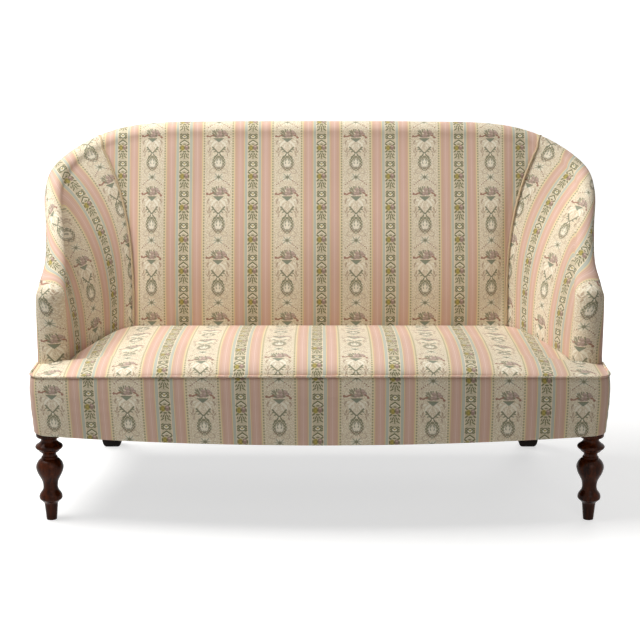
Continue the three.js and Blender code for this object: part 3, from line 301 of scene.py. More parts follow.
def slab(name, front, back, uv, material):
    """A closed piece between two grids of points of one size. uv holds one pair for each point of a grid."""
    rows = len(front)
    columns = len(front[0])
    points = [place(p) for grid in (front, back) for line in grid for p in line]
    uvs = [pair for _ in range(2) for line in uv for pair in line]

    def at(side, i, j):
        return (side * rows + i) * columns + j

    faces = []
    for i in range(rows - 1):
        for j in range(columns - 1):
            faces.append((at(0, i, j), at(0, i + 1, j), at(0, i + 1, j + 1), at(0, i, j + 1)))
            faces.append((at(1, i, j), at(1, i, j + 1), at(1, i + 1, j + 1), at(1, i + 1, j)))
        faces.append((at(0, i, 0), at(1, i, 0), at(1, i + 1, 0), at(0, i + 1, 0)))
        last = columns - 1
        faces.append((at(0, i + 1, last), at(1, i + 1, last), at(1, i, last), at(0, i, last)))
    for j in range(columns - 1):
        faces.append((at(0, 0, j + 1), at(1, 0, j + 1), at(1, 0, j), at(0, 0, j)))
        last = rows - 1
        faces.append((at(0, last, j), at(1, last, j), at(1, last, j + 1), at(0, last, j + 1)))
    return give_mesh(name, points, faces, uvs, material)


def ring_faces(rings, sides, start=0):
    """The faces round a stack of rings of points, and one over each end."""
    faces = []
    for i in range(rings - 1):
        low = start + i * sides
        for k in range(sides):
            after = (k + 1) % sides
            faces.append((low + k, low + after, low + after + sides, low + k + sides))
    top = start + (rings - 1) * sides
    faces.append(tuple(reversed(range(start, start + sides))))
    faces.append(tuple(range(top, top + sides)))
    return faces


def circle(sides):
    return [(math.cos(2 * math.pi * k / sides), math.sin(2 * math.pi * k / sides)) for k in range(sides)]


def tube(name, line, radius, sides, uv_of, material):
    """A round closed tube along a line of points."""
    points = []
    uvs = []
    side = Vector((1, 0, 0))
    run = 0.0
    for i, centre in enumerate(line):
        along = (line[min(i + 1, len(line) - 1)] - line[max(i - 1, 0)]).normalized()
        side = (side - along * side.dot(along)).normalized()
        other = along.cross(side)
        run += (centre - line[i - 1]).length if i else 0
        for k, (c, s) in enumerate(circle(sides)):
            points.append(place(centre + (side * c + other * s) * radius))
            uvs.append(uv_of(run, k / sides))
    return give_mesh(name, points, ring_faces(len(line), sides), uvs, material)


def soften(point, seed, size, depth):
    """A small swell or hollow of the stuffing at a point, the same in every run."""
    return depth * noise.noise(Vector(point) / size + Vector((seed, 0, 0)))


# Numbers that a material works out at each point of a surface.
def node(tree, kind, settings=(), inputs=(), links=()):
    made = tree.nodes.new("ShaderNode" + kind)
    for key, value in dict(settings).items():
        setattr(made, key, value)
    for key, value in dict(inputs).items():
        made.inputs[key].default_value = value
    for key, source in dict(links).items():
        tree.links.new(source, made.inputs[key])
    return made


def as_colour(text):
    """An sRGB colour written as six hexadecimal digits, as linear numbers."""
    parts = [int(text[k : k + 2], 16) / 255 for k in (0, 2, 4)]
    return (*[p / 12.92 if p <= 0.04045 else ((p + 0.055) / 1.055) ** 2.4 for p in parts], 1)


class Num:
    """A number in a material's node tree, with the sums and shapes that a pattern needs."""

    def __init__(self, tree, socket):
        self.tree = tree
        self.socket = socket

    def math(self, operation, *others):
        made = node(self.tree, "Math", {"operation": operation})
        for slot, value in zip(made.inputs, (self, *others)):
            if isinstance(value, Num):
                self.tree.links.new(value.socket, slot)
            else:
                slot.default_value = value
        return Num(self.tree, made.outputs[0])

    __add__ = partialmethod(math, "ADD")
    __sub__ = partialmethod(math, "SUBTRACT")
    __mul__ = partialmethod(math, "MULTIPLY")
    size = partialmethod(math, "ABSOLUTE")
    sine = partialmethod(math, "SINE")
    least = partialmethod(math, "MINIMUM")
    most = partialmethod(math, "MAXIMUM")
    __neg__ = partialmethod(math, "MULTIPLY", -1)

    def wrap(self, period):
        """The distance to the nearest multiple of a period, with its sign."""
        return self.math("WRAP", period / 2, -period / 2)

    def ramp(self, limit, soft, before, after):
        """A soft step from one number to another at a limit."""
        ends = {"From Min": limit - soft, "From Max": limit + soft, "To Min": before, "To Max": after}
        smoothed = {"interpolation_type": "SMOOTHSTEP"}
        made = node(self.tree, "MapRange", smoothed, ends, {"Value": self.socket})
        return Num(self.tree, made.outputs["Result"])

    def under(self, limit, soft=0.4):
        """1 where the number is below a limit and 0 above it, with a soft step between."""
        return self.ramp(limit, soft, 1, 0)

    def over(self, limit, soft=0.4):
        return self.ramp(limit, soft, 0, 1)

    def near(self, middle, reach, soft=0.4):
        """1 where the number is within a reach of a middle."""
        return (self - middle).size().under(reach, soft)


class Flat:
    """A place on the cloth, for shapes that are measured from a place on it."""

    def __init__(self, x, y):
        self.x = x
        self.y = y

    def square(self, x, y, long, wide, angle=0):
        """The square of the distance from a place, as a share of an oval's size there."""
        c = math.cos(math.radians(angle))
        s = math.sin(math.radians(angle))
        a = self.x.math("MULTIPLY_ADD", c / long, -(x * c + y * s) / long)
        b = self.y.math("MULTIPLY_ADD", c / wide, (x * s - y * c) / wide)
        if angle:
            a = self.y.math("MULTIPLY_ADD", s / long, a)
            b = self.x.math("MULTIPLY_ADD", -s / wide, b)
        return b.math("MULTIPLY_ADD", b, a * a)

    def reach(self, *shape):
        return self.square(*shape).math("SQRT")

    def ovals(self, shapes, soft=0.22):
        """1 inside any of a list of ovals: x, y, long, wide and angle."""
        mask = None
        for shape in shapes:
            one = self.square(*shape)
            mask = one if mask is None else mask.least(one)
        return mask.math("SQRT").under(1, soft)

    def noise(self, scale, detail):
        tree = self.x.tree
        join = node(tree, "CombineXYZ", links={0: self.x.socket, 1: self.y.socket})
        inputs = {"Scale": scale, "Detail": detail}
        links = {"Vector": join.outputs[0]}
        grain = node(tree, "TexNoise", {"noise_dimensions": "2D"}, inputs, links)
        return Num(tree, grain.outputs["Fac"])


class Paint:
    """A colour built up layer by layer in a node tree."""

    def __init__(self, tree, colour):
        self.tree = tree
        self.value = as_colour(colour)

    def lay(self, mask, colour):
        made = node(self.tree, "Mix", {"data_type": "RGBA"}, links={"Factor": mask.socket})
        for slot, value in zip(made.inputs[6:8], (self.value, as_colour(colour))):
            if isinstance(value, bpy.types.NodeSocket):
                self.tree.links.new(value, slot)
            else:
                slot.default_value = value
        self.value = made.outputs[2]
        return self


# The cloth's pattern, in millimetres on the flat cloth.
PERIOD = 175.0  # from garland to garland across the cloth
REPEAT = 160.0  # from basket to basket along the cloth
WARP = 0.9  # from thread to thread, across and along the cloth
WEFT = 1.1
BASKET_MIDDLE = 53  # the middle of a basket's motifs, down from its bowl's top edge
HEAD_MIDDLE = 19  # the middle of the garland's motifs, down from the same edge
FIELD = 41.0  # half the width of the figured field
PINK_MIDDLE = 54.5  # the middles of the pink and the blue stripe, out from the middle of the field
BLUE_MIDDLE = 70.3
DASHES = 22  # dashes of the field's edge in a repeat
THREADS = 3.6  # from light thread to light thread in the pink
CREAM = "e6d7b9"
CREAM_LIGHT = "f8f1de"
FLECK = "b9a384"
PINK = "dab5a3"
PINK_EDGE = "d7b097"
PINK_LIGHT = "e8cdc2"
GOLD = "e3cc95"
BLUE = "bdc0b3"
OLIVE = "7b7856"
LEAF = "88856a"
LEAF_LIGHT = "a8a58a"
BOWL = "8f937e"
MAUVE = "a08679"
MAUVE_LIGHT = "ccb3a4"
RUSSET = "a2715c"
BROWN = "b2967a"
YELLOW = "b8a558"

# The ovals of the motifs: x, y, half length, half width and angle in degrees. y runs down the cloth, for the
# basket's motifs from the top edge of its bowl.
FLOWER_shares = (
    (13, -18, 6.5, 5.5, 20), (18.5, -13, 5, 4, -30), (6, -10, 8, 6, 0), (-4, -8, 7, 5, 0),
    (2, -19, 5, 4.5, 0),
)
PETAL_shares = (
    (14, -20, 3.4, 2.2, 20), (18, -13, 3, 2, -30), (6, -13, 3.6, 2.2, 10), (-4, -9, 3.4, 2, 0),
    (3, -21, 3, 2, 0),
)
SPRIG_shares = (
    (-9, -18, 7.5, 2.4, 65), (-13, -13, 6, 2.2, 40), (-5, -24, 6, 1.9, 85), (-14, -20, 4.5, 1.6, 55),
    (0, -27, 4.5, 1.5, 100), (8, -24, 5, 1.6, 70), (-10, -8, 6, 2.2, 10), (11, -9, 4, 1.8, 20),
    (10, -15, 3, 1.4, 60),
)
RIBBON_shares = (
    (-17, -9, 6.5, 1.9, -22), (-24, -6.5, 5, 1.8, 10), (-28.5, -7.5, 3, 3.2, 0), (21, -9, 5, 1.8, 25),
    (26, -4, 3.4, 3, 30),
)
PLUME_shares = ((11, 12, 8.5, 2.8, 40), (15, 17, 8, 2.2, 65), (20, 8, 6, 2, 20), (7, 22, 6, 1.6, 70))
SPRAY_shares = (
    (14, 27, 4.6, 2.2, -50), (10, 32, 4.6, 2, -48), (14.5, 32, 3.6, 1.4, 20), (6, 36.5, 4.6, 2, -48),
    (10, 38, 3.6, 1.4, 20), (1.5, 41.5, 4.6, 2, -50), (4, 47, 4.4, 1.8, 55), (9, 52, 5, 2, 35),
)
VINE_shares = (
    (23, 31, 6, 2, 80), (20, 38, 4.4, 1.5, 50), (26.5, 38, 4.4, 1.5, 125), (25, 8, 4, 2.6, 60),
    (27, 14, 4.5, 1.4, 110), (22, 47, 5, 1.6, 75),
)
STEM_shares = ((3.5, 62, 4.6, 1.6, 62), (4.5, 70, 3.6, 1.4, 110))
STAR_shares = ((5.5, 104, 6.5, 1.3, -50), (6, 113, 7, 1.4, 38), (0, 109, 9, 1.4, 90), (6, 108.5, 7, 1.1, 0))
DOT_shares = (
    (13, 118, 1.6, 1.3, 0), (17.5, 121, 1.6, 1.3, 0), (22, 124.5, 1.7, 1.4, 0), (26.5, 128.5, 1.8, 1.5, 0),
)
SCROLL_END_shares = (
    (9, -13, 3.8, 1.5, 30), (9, -1.5, 3.8, 1.5, -30), (10.4, -7, 1.2, 3, 0), (3.6, -9, 1.7, 1.3, 0),
)
HEAD_LEAF_shares = (
    (9.5, 37, 4.4, 2, 40), (9.8, 17, 4, 1.9, -35), (0, 38, 4.6, 2, 0), (11.2, 27, 1.5, 5, 0),
    (0, 27, 2, 2.6, 0), (0, 16, 4, 1.5, 0),
)
CROSS_LEAF_shares = (
    (4.5, 46, 5.6, 1.4, 62), (7.5, 54, 5.6, 1.5, 35), (9.5, 46, 3.4, 1.3, 60), (0, 51, 7.5, 1.4, 90),
    (4, 60, 4.4, 1.2, 20),
)


def cloth_colour(u, v):
    """The colour of the cloth from the place on it: u across the stripes and v along them, upwards."""
    x = (u - PERIOD / 2).wrap(PERIOD)
    side = x.size()
    grain = Flat(u, v).noise(0.33, 2)
    fine = Flat(u, v).noise(0.9, 1)
    scrolls = Flat(u, v).noise(0.13, 2)
    paint = Paint(u.tree, CREAM)
    field = side.under(FIELD - 7)
    paint.lay(grain.under(0.47, 0.06) * field * 0.7, CREAM_LIGHT)
    paint.lay(grain.near(0.56, 0.026, 0.016) * field * 0.6, FLECK)
    paint.lay(scrolls.near(0.5, 0.014, 0.01) * field * 0.5, BROWN)
    paint.lay(fine.near(0.5, 0.02, 0.02) * field * 0.3, BROWN)
    lay_stripes(paint, side, -v)
    # The repeats are cut where no motif lies.
    y = (-v - BASKET_MIDDLE).wrap(REPEAT) + BASKET_MIDDLE
    lay_basket(paint, Flat(x, y), Flat(side, y), fine)
    lay_wreath(paint, Flat(side, y))
    y = (-v - HEAD_MIDDLE).wrap(REPEAT / 2) + HEAD_MIDDLE
    lay_garland(paint, u.wrap(PERIOD), y, fine)
    return paint.value


def lay_stripes(paint, side, w):
    dash = Flat(side, w.wrap(REPEAT / DASHES)).reach(FIELD - 4.5, 0, 2, 2.3)
    paint.lay((side - FIELD + 4.2).size().under(1.8) * 0.5, GOLD)
    paint.lay(dash.under(1, 0.4) * 0.7, LEAF)
    paint.lay(side.near(FIELD, 0.9), GOLD)
    pink = side.over(FIELD + 1.2) * side.under(65.2)
    paint.lay(pink, PINK_EDGE)
    paint.lay(side.near(PINK_MIDDLE, 5.4, 1.2), PINK)
    threads = (side * (2 * math.pi / THREADS)).sine()
    paint.lay(pink * threads.over(0.5, 0.5) * 0.3, PINK_LIGHT)
    paint.lay(side.near(PINK_MIDDLE, 0.7) * 0.8, PINK_LIGHT)
    paint.lay(side.near(66.2, 0.8), GOLD)
    paint.lay(side.near(BLUE_MIDDLE, 3), BLUE)
    paint.lay(side.near(BLUE_MIDDLE, 0.5) * 0.35, CREAM)


def lay_basket(paint, place, folded, fine):
    side = folded.x
    y = folded.y
    paint.lay(folded.ovals(PLUME_shares) * 0.8, CREAM_LIGHT)
    paint.lay(folded.ovals(VINE_shares) * 0.75, BROWN)
    flowers = place.ovals(FLOWER_shares)
    paint.lay(flowers * 0.9, MAUVE)
    paint.lay(flowers * fine.over(0.52, 0.06) * 0.6, MAUVE_LIGHT)
    paint.lay(place.ovals(PETAL_shares) * 0.8, MAUVE_LIGHT)
    paint.lay(place.ovals(SPRIG_shares) * 0.85, LEAF)
    paint.lay(place.ovals(RIBBON_shares) * 0.9, RUSSET)
    paint.lay((side + y * 1.2).under(12.5, 1) * y.over(0), BOWL)
    paint.lay((y + 0.6).size().under(1) * side.under(13), LEAF)


def lay_wreath(paint, folded):
    ring = folded.reach(0, 70, 13, 16.4)
    lobes = (folded.x * 0.95).sine() * (folded.y * 0.8).sine()
    paint.lay(ring.under(0.9, 0.1) * 0.6, CREAM_LIGHT)
    paint.lay(folded.ovals(STEM_shares) * 0.7, LEAF)
    paint.lay((ring - 1 + lobes * 0.12).size().under(0.28, 0.1) * 0.95, LEAF)
    paint.lay(ring.near(1, 0.3, 0.1) * lobes.over(0.3, 0.2) * 0.75, CREAM)
    paint.lay(ring.near(1, 0.2, 0.1) * folded.y.over(74, 2) * lobes.under(-0.2, 0.2) * 0.7, MAUVE)
    paint.lay(folded.ovals(SPRAY_shares) * 0.95, LEAF)
    paint.lay(folded.reach(0, 45, 1.8, 1.6).under(1, 0.2), CREAM_LIGHT)
    paint.lay(folded.reach(15, 92, 9, 6, 30).near(1, 0.12, 0.08) * 0.55, BROWN)
    paint.lay(folded.reach(0, 109, 13, 11).under(1, 0.3) * 0.4, CREAM_LIGHT)
    paint.lay(folded.ovals(STAR_shares) * 0.85, LEAF_LIGHT)
    paint.lay(folded.reach(0, 109, 4, 4).under(1, 0.4) * 0.9, LEAF)
    paint.lay(folded.ovals(DOT_shares) * 0.85, RUSSET)


def lay_garland(paint, x, y, fine):
    half = x.size()
    place = Flat(x, y)
    folded = Flat(half, y)
    strip = half.under(11.6, 0.8)
    paint.lay(strip * fine.over(0.48, 0.1) * 0.5, LEAF)
    ring = folded.reach(0, -7, 7.4, 6.2)
    paint.lay(ring.under(0.9, 0.1) * 0.7, CREAM_LIGHT)
    paint.lay(ring.near(1, 0.2, 0.1), OLIVE)
    paint.lay(ring.under(0.34, 0.12), YELLOW)
    arch = (y - 4 - half * 0.75).size().under(1.9) * half.under(12)
    paint.lay((y - 7.4 - half * 0.75).size().under(1) * half.under(12) * 0.8, CREAM_LIGHT)
    spots = folded.ovals((*SCROLL_END_shares, *CROSS_LEAF_shares))
    paint.lay(arch.most(spots), OLIVE)
    paint.lay(place.reach(-4.8, 27, 6, 7.6).under(1, 0.15), YELLOW)
    paint.lay(place.reach(5, 26, 5.4, 7.4).under(1, 0.15), MAUVE)
    paint.lay(place.reach(5.6, 23, 2.6, 2.2).under(1, 0.3), MAUVE_LIGHT)
    paint.lay(place.reach(-4.8, 27, 3.4, 4.4).near(1, 0.2, 0.12) * 0.7, OLIVE)
    paint.lay(folded.ovals(HEAD_LEAF_shares), OLIVE)


def principled(name, roughness, **settings):
    """A material with its tree and shader; settings are values for the shader's own sockets."""
    material = bpy.data.materials.new(name)
    material.use_nodes = True
    tree = material.node_tree
    shader = tree.nodes["Principled BSDF"]
    shader.inputs["Roughness"].default_value = roughness
    for key, value in settings.items():
        shader.inputs[key.replace("_", " ")].default_value = value
    return material, tree, shader


def object_place(tree):
    return node(tree, "TexCoord").outputs["Object"]


def noise_over(tree, vector, scale, detail, **more):
    inputs = {"Scale": scale, "Detail": detail, **more}
    return node(tree, "TexNoise", inputs=inputs, links={"Vector": vector}).outputs["Fac"]


def dress_shader(tree, shader, colour, height, strength, distance):
    tree.links.new(colour, shader.inputs["Base Color"])
    inputs = {"Strength": strength, "Distance": distance}
    bump = node(tree, "Bump", inputs=inputs, links={"Height": height})
    tree.links.new(bump.outputs[0], shader.inputs["Normal"])


def cloth_material(name, plain=None):
    cloth = {"Specular_IOR_Level": 0.3, "Sheen_Weight": 0.12, "Sheen_Roughness": 0.5}
    material, tree, shader = principled(name, 0.85, **cloth)
    place_on_cloth = node(tree, "UVMap", {"uv_map": "cloth"})
    split = node(tree, "SeparateXYZ", links={"Vector": place_on_cloth.outputs[0]})
    # The UV map is kept small for the export: one unit is a metre of cloth.
    u = Num(tree, split.outputs[0]) * 1000
    v = Num(tree, split.outputs[1]) * 1000
    if plain:
        colour = Paint(tree, plain).lay(Flat(u, v).noise(0.5, 2).over(0.5, 0.15), FLECK).value
    else:
        colour = cloth_colour(u, v)
    fade = noise_over(tree, object_place(tree), 3.5, 4)
    ends = {"From Min": 0.3, "From Max": 0.7, "To Min": 0.93, "To Max": 1.05}
    tone = node(tree, "MapRange", inputs=ends, links={"Value": fade})
    warp = (u * (2 * math.pi / WARP)).sine()
    weft = (v * (2 * math.pi / WEFT)).sine()
    thread = warp * weft
    shade = Num(tree, tone.outputs[0]) * (thread * 0.035 + 1)
    tinted = node(tree, "Mix", {"data_type": "RGBA", "blend_type": "MULTIPLY"}, {"Factor": 1})
    tree.links.new(colour, tinted.inputs[6])
    tree.links.new(shade.socket, tinted.inputs[7])
    dress_shader(tree, shader, tinted.outputs[2], thread.socket, 0.25, 0.4 * MM)
    return material


def wood_material(name, dark, light, roughness, scale, shine=0.3):
    material, tree, shader = principled(name, roughness, Specular_IOR_Level=shine)
    along_grain = (scale, scale, scale * 0.12)
    links = {"Vector": object_place(tree)}
    stretch = node(tree, "Mapping", inputs={"Scale": along_grain}, links=links)
    grain = noise_over(tree, stretch.outputs[0], 9, 6, Roughness=0.6)
    ramp = node(tree, "ValToRGB", links={"Fac": grain})
    for stop, position, colour in zip(ramp.color_ramp.elements, (0.3, 0.72), (dark, light)):
        stop.position = position
        stop.color = as_colour(colour)
    dress_shader(tree, shader, ramp.outputs[0], grain, 0.2, 0.5 * MM)
    return material


def woven_material(name, dark, light, pitch):
    """Plain weave for hessian, webs and lining."""
    material, tree, shader = principled(name, 0.95)
    where = object_place(tree)
    split = node(tree, "SeparateXYZ", links={"Vector": where})
    wave = 2 * math.pi / pitch
    height = (Num(tree, split.outputs[0]) * wave).sine() * (Num(tree, split.outputs[1]) * wave).sine()
    slub = Num(tree, noise_over(tree, where, 60, 3))
    paint = Paint(tree, dark).lay((height * 0.25 + slub).over(0.5, 0.3), light)
    dress_shader(tree, shader, paint.value, height.socket, 0.4, 0.5 * MM)
    return material


def steel_material(name):
    material, tree, shader = principled(name, 0.45, Metallic=1)
    rust = Num(tree, noise_over(tree, object_place(tree), 40, 5))
    paint = Paint(tree, "8c8986").lay(rust.over(0.6, 0.1), "6b5546")
    tree.links.new(paint.value, shader.inputs["Base Color"])
    return material


CLOTH = cloth_material("figured_cloth")
CORD_CLOTH = cloth_material("seam_cord_cloth", "cfb894")
MAHOGANY = wood_material("mahogany", "180803", "5c290e", 0.24, 10, 0.1)
DARK_WOOD = wood_material("dark_wood", "0d0907", "1f150f", 0.55, 8, 0.1)
BEECH = wood_material("beech", "a87b4f", "cda273", 0.65, 6)
JUTE = woven_material("jute", "6f5836", "ab9164", 3 * MM)
LINING = woven_material("black_lining", "161514", "2b2926", 1.5 * MM)
STEEL = steel_material("spring_wire")


# Pieces.
def finish_piece(piece, slot, *nodes):
    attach(piece, "root")
    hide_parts(*nodes)
    return piece


def arc_lengths(line):
    """The run along a list of points, from its first."""
    runs = [0.0]
    for a, b in zip(line, line[1:]):
        runs.append(runs[-1] + (b - a).length)
    return runs


def both_halves(right, left):
    """Lines from the left end over the middle to the right end, from two lists that start in the middle."""
    return [*reversed(left[1:]), *right]


def crease(distance, reach):
    """1 at a seam, easing to 0 at a distance from it."""
    return max(0, 1 - distance / reach) ** 2


# Where the pattern lies on each piece. On the inside of an arm, at every station from SEAM to NOSE: how far
# across the cloth the foot of the wall is, in millimetres, how far the stripes sweep forwards on their way up
# and how much further forward they lie on the left arm, both in stations, and how high over the foot a
# basket's bowl has its top edge, in millimetres.
ARM_ACROSS_shares = (-92, 15, 110, 176, 207, 227, 246, 320)
ARM_SWEEP_shares = (0.3, 0.3, 0.62, 0.95, 1.2, 1.25, 0.6, 0.2)
LEFT_AHEAD_shares = (0, 0.09, 0.25, 0.5, 0.5, 0.4, 0.22, 0.1)
ARM_BOWL_shares = (50, 36, 26, 30, 36, 36, 40, 44)
BEYOND_SEAM = 100  # millimetres of cloth to a station where the cloth runs on behind the seam
LEFT_RAISED = 8 * MM  # how much higher the bowls lie on the front of the left arm
RAISED_FROM = 7  # the station where that starts
ARM_SWEEP_POWER = 2.6
ROLL_SWING = 0.45  # on the roll the stripes first swing on forwards
ROLL_RETURN = 0.4  # and then back, for every radian
BACK_ACROSS = -4 * MM
BACK_BOWL = 8 * MM  # over the foot of the wall
BACK_FLAT = 331 * MM  # how far up the back the cloth lies evenly
BACK_EASE = 65 * MM  # the cloth taken up over the back's swelling top
BACK_SPREAD = 0.035  # the share by which the cloth is taken up at the back's sides
SEAT_ACROSS = 7 * MM
SEAT_BOWL = 56 * MM  # behind the middle of the front edge
SEAT_BOW = 0.6
BORDER_ACROSS = 5 * MM
BORDER_BOWL_shares = (311, 317.5, 317, 317.5, 320, 309.5, 305, 295)  # over the floor, basket by basket
BORDER_LEFT = -1.5 * MM  # the cloth taken up on the way from the middle to either side
BORDER_RIGHT = 4 * MM
BORDER_SLANT = 6 * MM  # how far the stripes of the left half run askew down the border
BORDER_STRETCH = 1.057


def lumbar(u, share):
    """How far the padding of the back stands forward, so that its foot is upright and its top leans."""
    if share < LUMBAR_HEIGHT:
        shape = 1 - (1 - share / LUMBAR_HEIGHT) ** 2
    else:
        shape = 1 - smooth(share, LUMBAR_HEIGHT, 1)
    return LUMBAR * shape * (1 - smooth(u, 1.8, SEAM))


def inside_grid(list_of_u, sign):
    """Skin and underside of the inside of the wall, and how far each point is from the seat."""
    front = []
    back = []
    runs = []
    flip = Vector((sign, 1, 1))
    for u in list_of_u:
        # The cover is drawn in along the seam.
        pulled = SEAM_PULL * crease(abs(u - SEAM), SEAM_REACH)
        skin = []
        under = []
        for point, away, share in inside_profile(u):
            swell = soften(point * flip, *WALL_SWELL) * smooth(share, 0, 0.2)
            raised = lumbar(u, share) + (swell - pulled) * (1 - smooth(share, 0.9, 1))
            skin.append(point + away * raised)
            under.append(point - away * pad_depth(u, share))
        front.append([p * flip for p in skin])
        back.append([p * flip for p in under])
        length = arc_lengths(skin)
        runs.append([r - length[1] for r in length])
    return front, back, runs


def inside_back():
    list_of_u = [*stations(0, SEAM - SEAM_REACH), *stations(SEAM - SEAM_REACH, SEAM, 60)[1:]]
    front, back, _ = map(both_halves, inside_grid(list_of_u, 1), inside_grid(list_of_u, -1))
    rows = [point for point, _, _ in inside_profile(0)]
    middle = arc_lengths(rows)

    def up_the_cloth(z):
        """The run up the middle of the back to a height."""
        k = 1
        while k < FACE_ROWS and rows[k + 1].z < z:
            k += 1
        share = (z - rows[k].z) / (rows[k + 1].z - rows[k].z)
        run = mix(middle[k], middle[k + 1], share) - middle[1]
        return run - BACK_BOWL + BACK_EASE * max(0, run / BACK_FLAT - 1) ** 2

    uv = []
    for line in front:
        column = []
        for row, point in enumerate(line):
            if row <= FACE_ROWS + 1:
                v = up_the_cloth(point.z)
            else:
                v = column[-1][1] + (point - line[row - 1]).length
            spread = 1 + BACK_SPREAD * smooth(abs(point.x), 0.36, 0.52)
            column.append((point.x * spread + BACK_ACROSS, v))
        uv.append(column)
    piece = slab("inside_back", front, back, uv, CLOTH)
    return finish_piece(piece, "cover_cloth", "inside_back_cover", "inside_back_stuffing")


def at_station(values, u):
    """A value between those that a list holds for the stations from SEAM on."""
    return curve(values, max(0, min(u - SEAM, len(values) - 1)))


def inside_arm(name, sign):
    list_of_u = [*stations(SEAM, SEAM + SEAM_REACH, 60), *stations(SEAM + SEAM_REACH, ARM_END)[1:]]
    list_of_u += stations(ARM_END, NOSE)[1:]
    list_of_u[0] += SEAM_CUT
    front, back, runs = inside_grid(list_of_u, sign)
    uv = []
    for u, line in zip(list_of_u, runs):
        column = []
        raised = LEFT_RAISED * smooth(u, RAISED_FROM, ARM_END) if sign < 0 else 0
        ahead = at_station(LEFT_AHEAD_shares, u) if sign < 0 else 0
        for row, run in enumerate(line):
            angle = roll_end(u) * max(0, row - FACE_ROWS - 1) / ROLL_ROWS
            bend = clamp(run / line[FACE_ROWS + 1]) ** ARM_SWEEP_POWER
            bend += ROLL_SWING * math.sin(angle) - ROLL_RETURN * angle
            swept = u - at_station(ARM_SWEEP_shares, u) * bend - ahead
            across = at_station(ARM_ACROSS_shares, swept) + BEYOND_SEAM * min(0, swept - SEAM)
            column.append((sign * across * MM, run - at_station(ARM_BOWL_shares, u) * MM - raised))
        uv.append(column)
    piece = slab(f"inside_arm_{name}", front, back, uv, CLOTH)
    return finish_piece(piece, "cover_cloth", f"inside_arm_cover_{name}", f"arm_stuffing_{name}")


def outside_grid(list_of_u, sign):
    flip = Vector((sign, 1, 1))
    profiles = [outside_profile(u) for u in list_of_u]
    front = [[p * flip for p, _ in rows] for rows in profiles]
    back = [[(p - away * COVER) * flip for p, away in rows] for rows in profiles]
    return front, back


def outside_covers():
    list_of_u = stations(0, SEAM, 12)
    front, back = map(both_halves, outside_grid(list_of_u, 1), outside_grid(list_of_u, -1))
    uv = [[(-p.x, p.z - RIM) for p in line] for line in front]
    piece = slab("outside_back", front, back, uv, CLOTH)
    finish_piece(piece, "cover_cloth", "outside_back_cover")
    for name, sign in SIDES:
        list_of_u = [*stations(SEAM + SEAM_CUT, ARM_END, 12), *stations(ARM_END, NOSE - 0.03, 5)[1:]]
        front, back = outside_grid(list_of_u, sign)
        base = arc_lengths([line[-1].xy for line in front])
        uv = [[(sign * run, p.z - RIM) for p in line] for run, line in zip(base, front)]
        piece = slab(f"outside_arm_{name}", front, back, uv, CLOTH)
        finish_piece(piece, "cover_cloth", f"outside_arm_cover_{name}")


# The plan line of the front: a bow, a rounded corner and the side back to the arm.
CORNER_START = Vector((HALF - SEAT_CORNER, 0))
CORNER_PEAK = Vector((HALF, SEAT_CORNER * 2 * FRONT_BOW / CORNER_START.x))
CORNER_END = Vector((HALF, CORNER_PEAK.y + SEAT_CORNER))
SIDE_END = Vector((HALF, Station(NOSE).inner.y - GAP))


def bezier(a, b, c, t):
    return a * (1 - t) ** 2 + b * (2 * t * (1 - t)) + c * t**2


BOW_PEAK = Vector((CORNER_START.x / 2, -FRONT_BOW))
FRONT_LINE = [bezier(Vector((0, -FRONT_BOW)), BOW_PEAK, CORNER_START, k / 60) for k in range(60)]
FRONT_LINE += [bezier(CORNER_START, CORNER_PEAK, CORNER_END, k / 16) for k in range(16)]
FRONT_LINE += [CORNER_END.lerp(SIDE_END, k / 12) for k in range(13)]
FRONT_RUNS = arc_lengths(FRONT_LINE)
BOW_RUN = FRONT_RUNS[60]
CORNER_RUN = FRONT_RUNS[76]
FULL_RUN = FRONT_RUNS[-1]


def welt_height(x):
    return SEAT_EDGE + EDGE_RISE * (1 - (x / HALF) ** 2)


def rim_height(x):
    return RIM - RIM_DIP * (1 - (x / HALF) ** 2)


def at_height(point, z):
    return Vector((point.x, point.y, z))


def front_point(run, inset):
    """A point of the front line at a run from the middle, moved inwards; negative runs are on the left."""
    reach = min(abs(run), FULL_RUN)
    k = 1
    while FRONT_RUNS[k] < reach and k < len(FRONT_RUNS) - 1:
        k += 1
    f = (reach - FRONT_RUNS[k - 1]) / (FRONT_RUNS[k] - FRONT_RUNS[k - 1])
    spot = FRONT_LINE[k - 1].lerp(FRONT_LINE[k], f)
    before = FRONT_LINE[max(k - 2, 0)]
    after = FRONT_LINE[min(k + 1, len(FRONT_LINE) - 1)]
    along = (after - before).normalized() if reach > 0 else Vector((1, 0))
    if reach >= FULL_RUN:
        along = Vector((0, 1))
    spot = spot + Vector((-along.y, along.x)) * inset
    return Vector((-spot.x if run < 0 else spot.x, spot.y, welt_height(spot.x)))


def wall_foot(u):
    s = Station(abs(u))
    spot = s.inner - s.out * SEAT_GAP
    return Vector((-spot.x if u < 0 else spot.x, spot.y, seat_line(s.inner.y)))


def between(values, place_in_list):
    k = min(int(place_in_list), len(values) - 2)
    return mix(values[k], values[k + 1], place_in_list - k)


SEAT_END = 10
SEAT_SIDE = [SEAT_END, 9.8, 9.6, 9.4, 9.2, 9, 8.5, 8, 7.5, 7, 6.5, 6, 5.5, 5, 4.67, 4.33, 4, 3.67, 3.33, 3]
FRONT_REACH = mix(BOW_RUN, CORNER_RUN, 0.5)


def seat_side(p):
    """The right edge of the seat: round the corner, along the side and then along the foot of the wall."""
    if p <= 1:
        return front_point(mix(FRONT_REACH, CORNER_RUN, p), 0)
    if p <= 2:
        return front_point(mix(CORNER_RUN, FULL_RUN, p - 1), 0)
    if p <= 3:
        return front_point(FULL_RUN, 0).lerp(wall_foot(SEAT_END), p - 2)
    return wall_foot(between(SEAT_SIDE, p - 3))


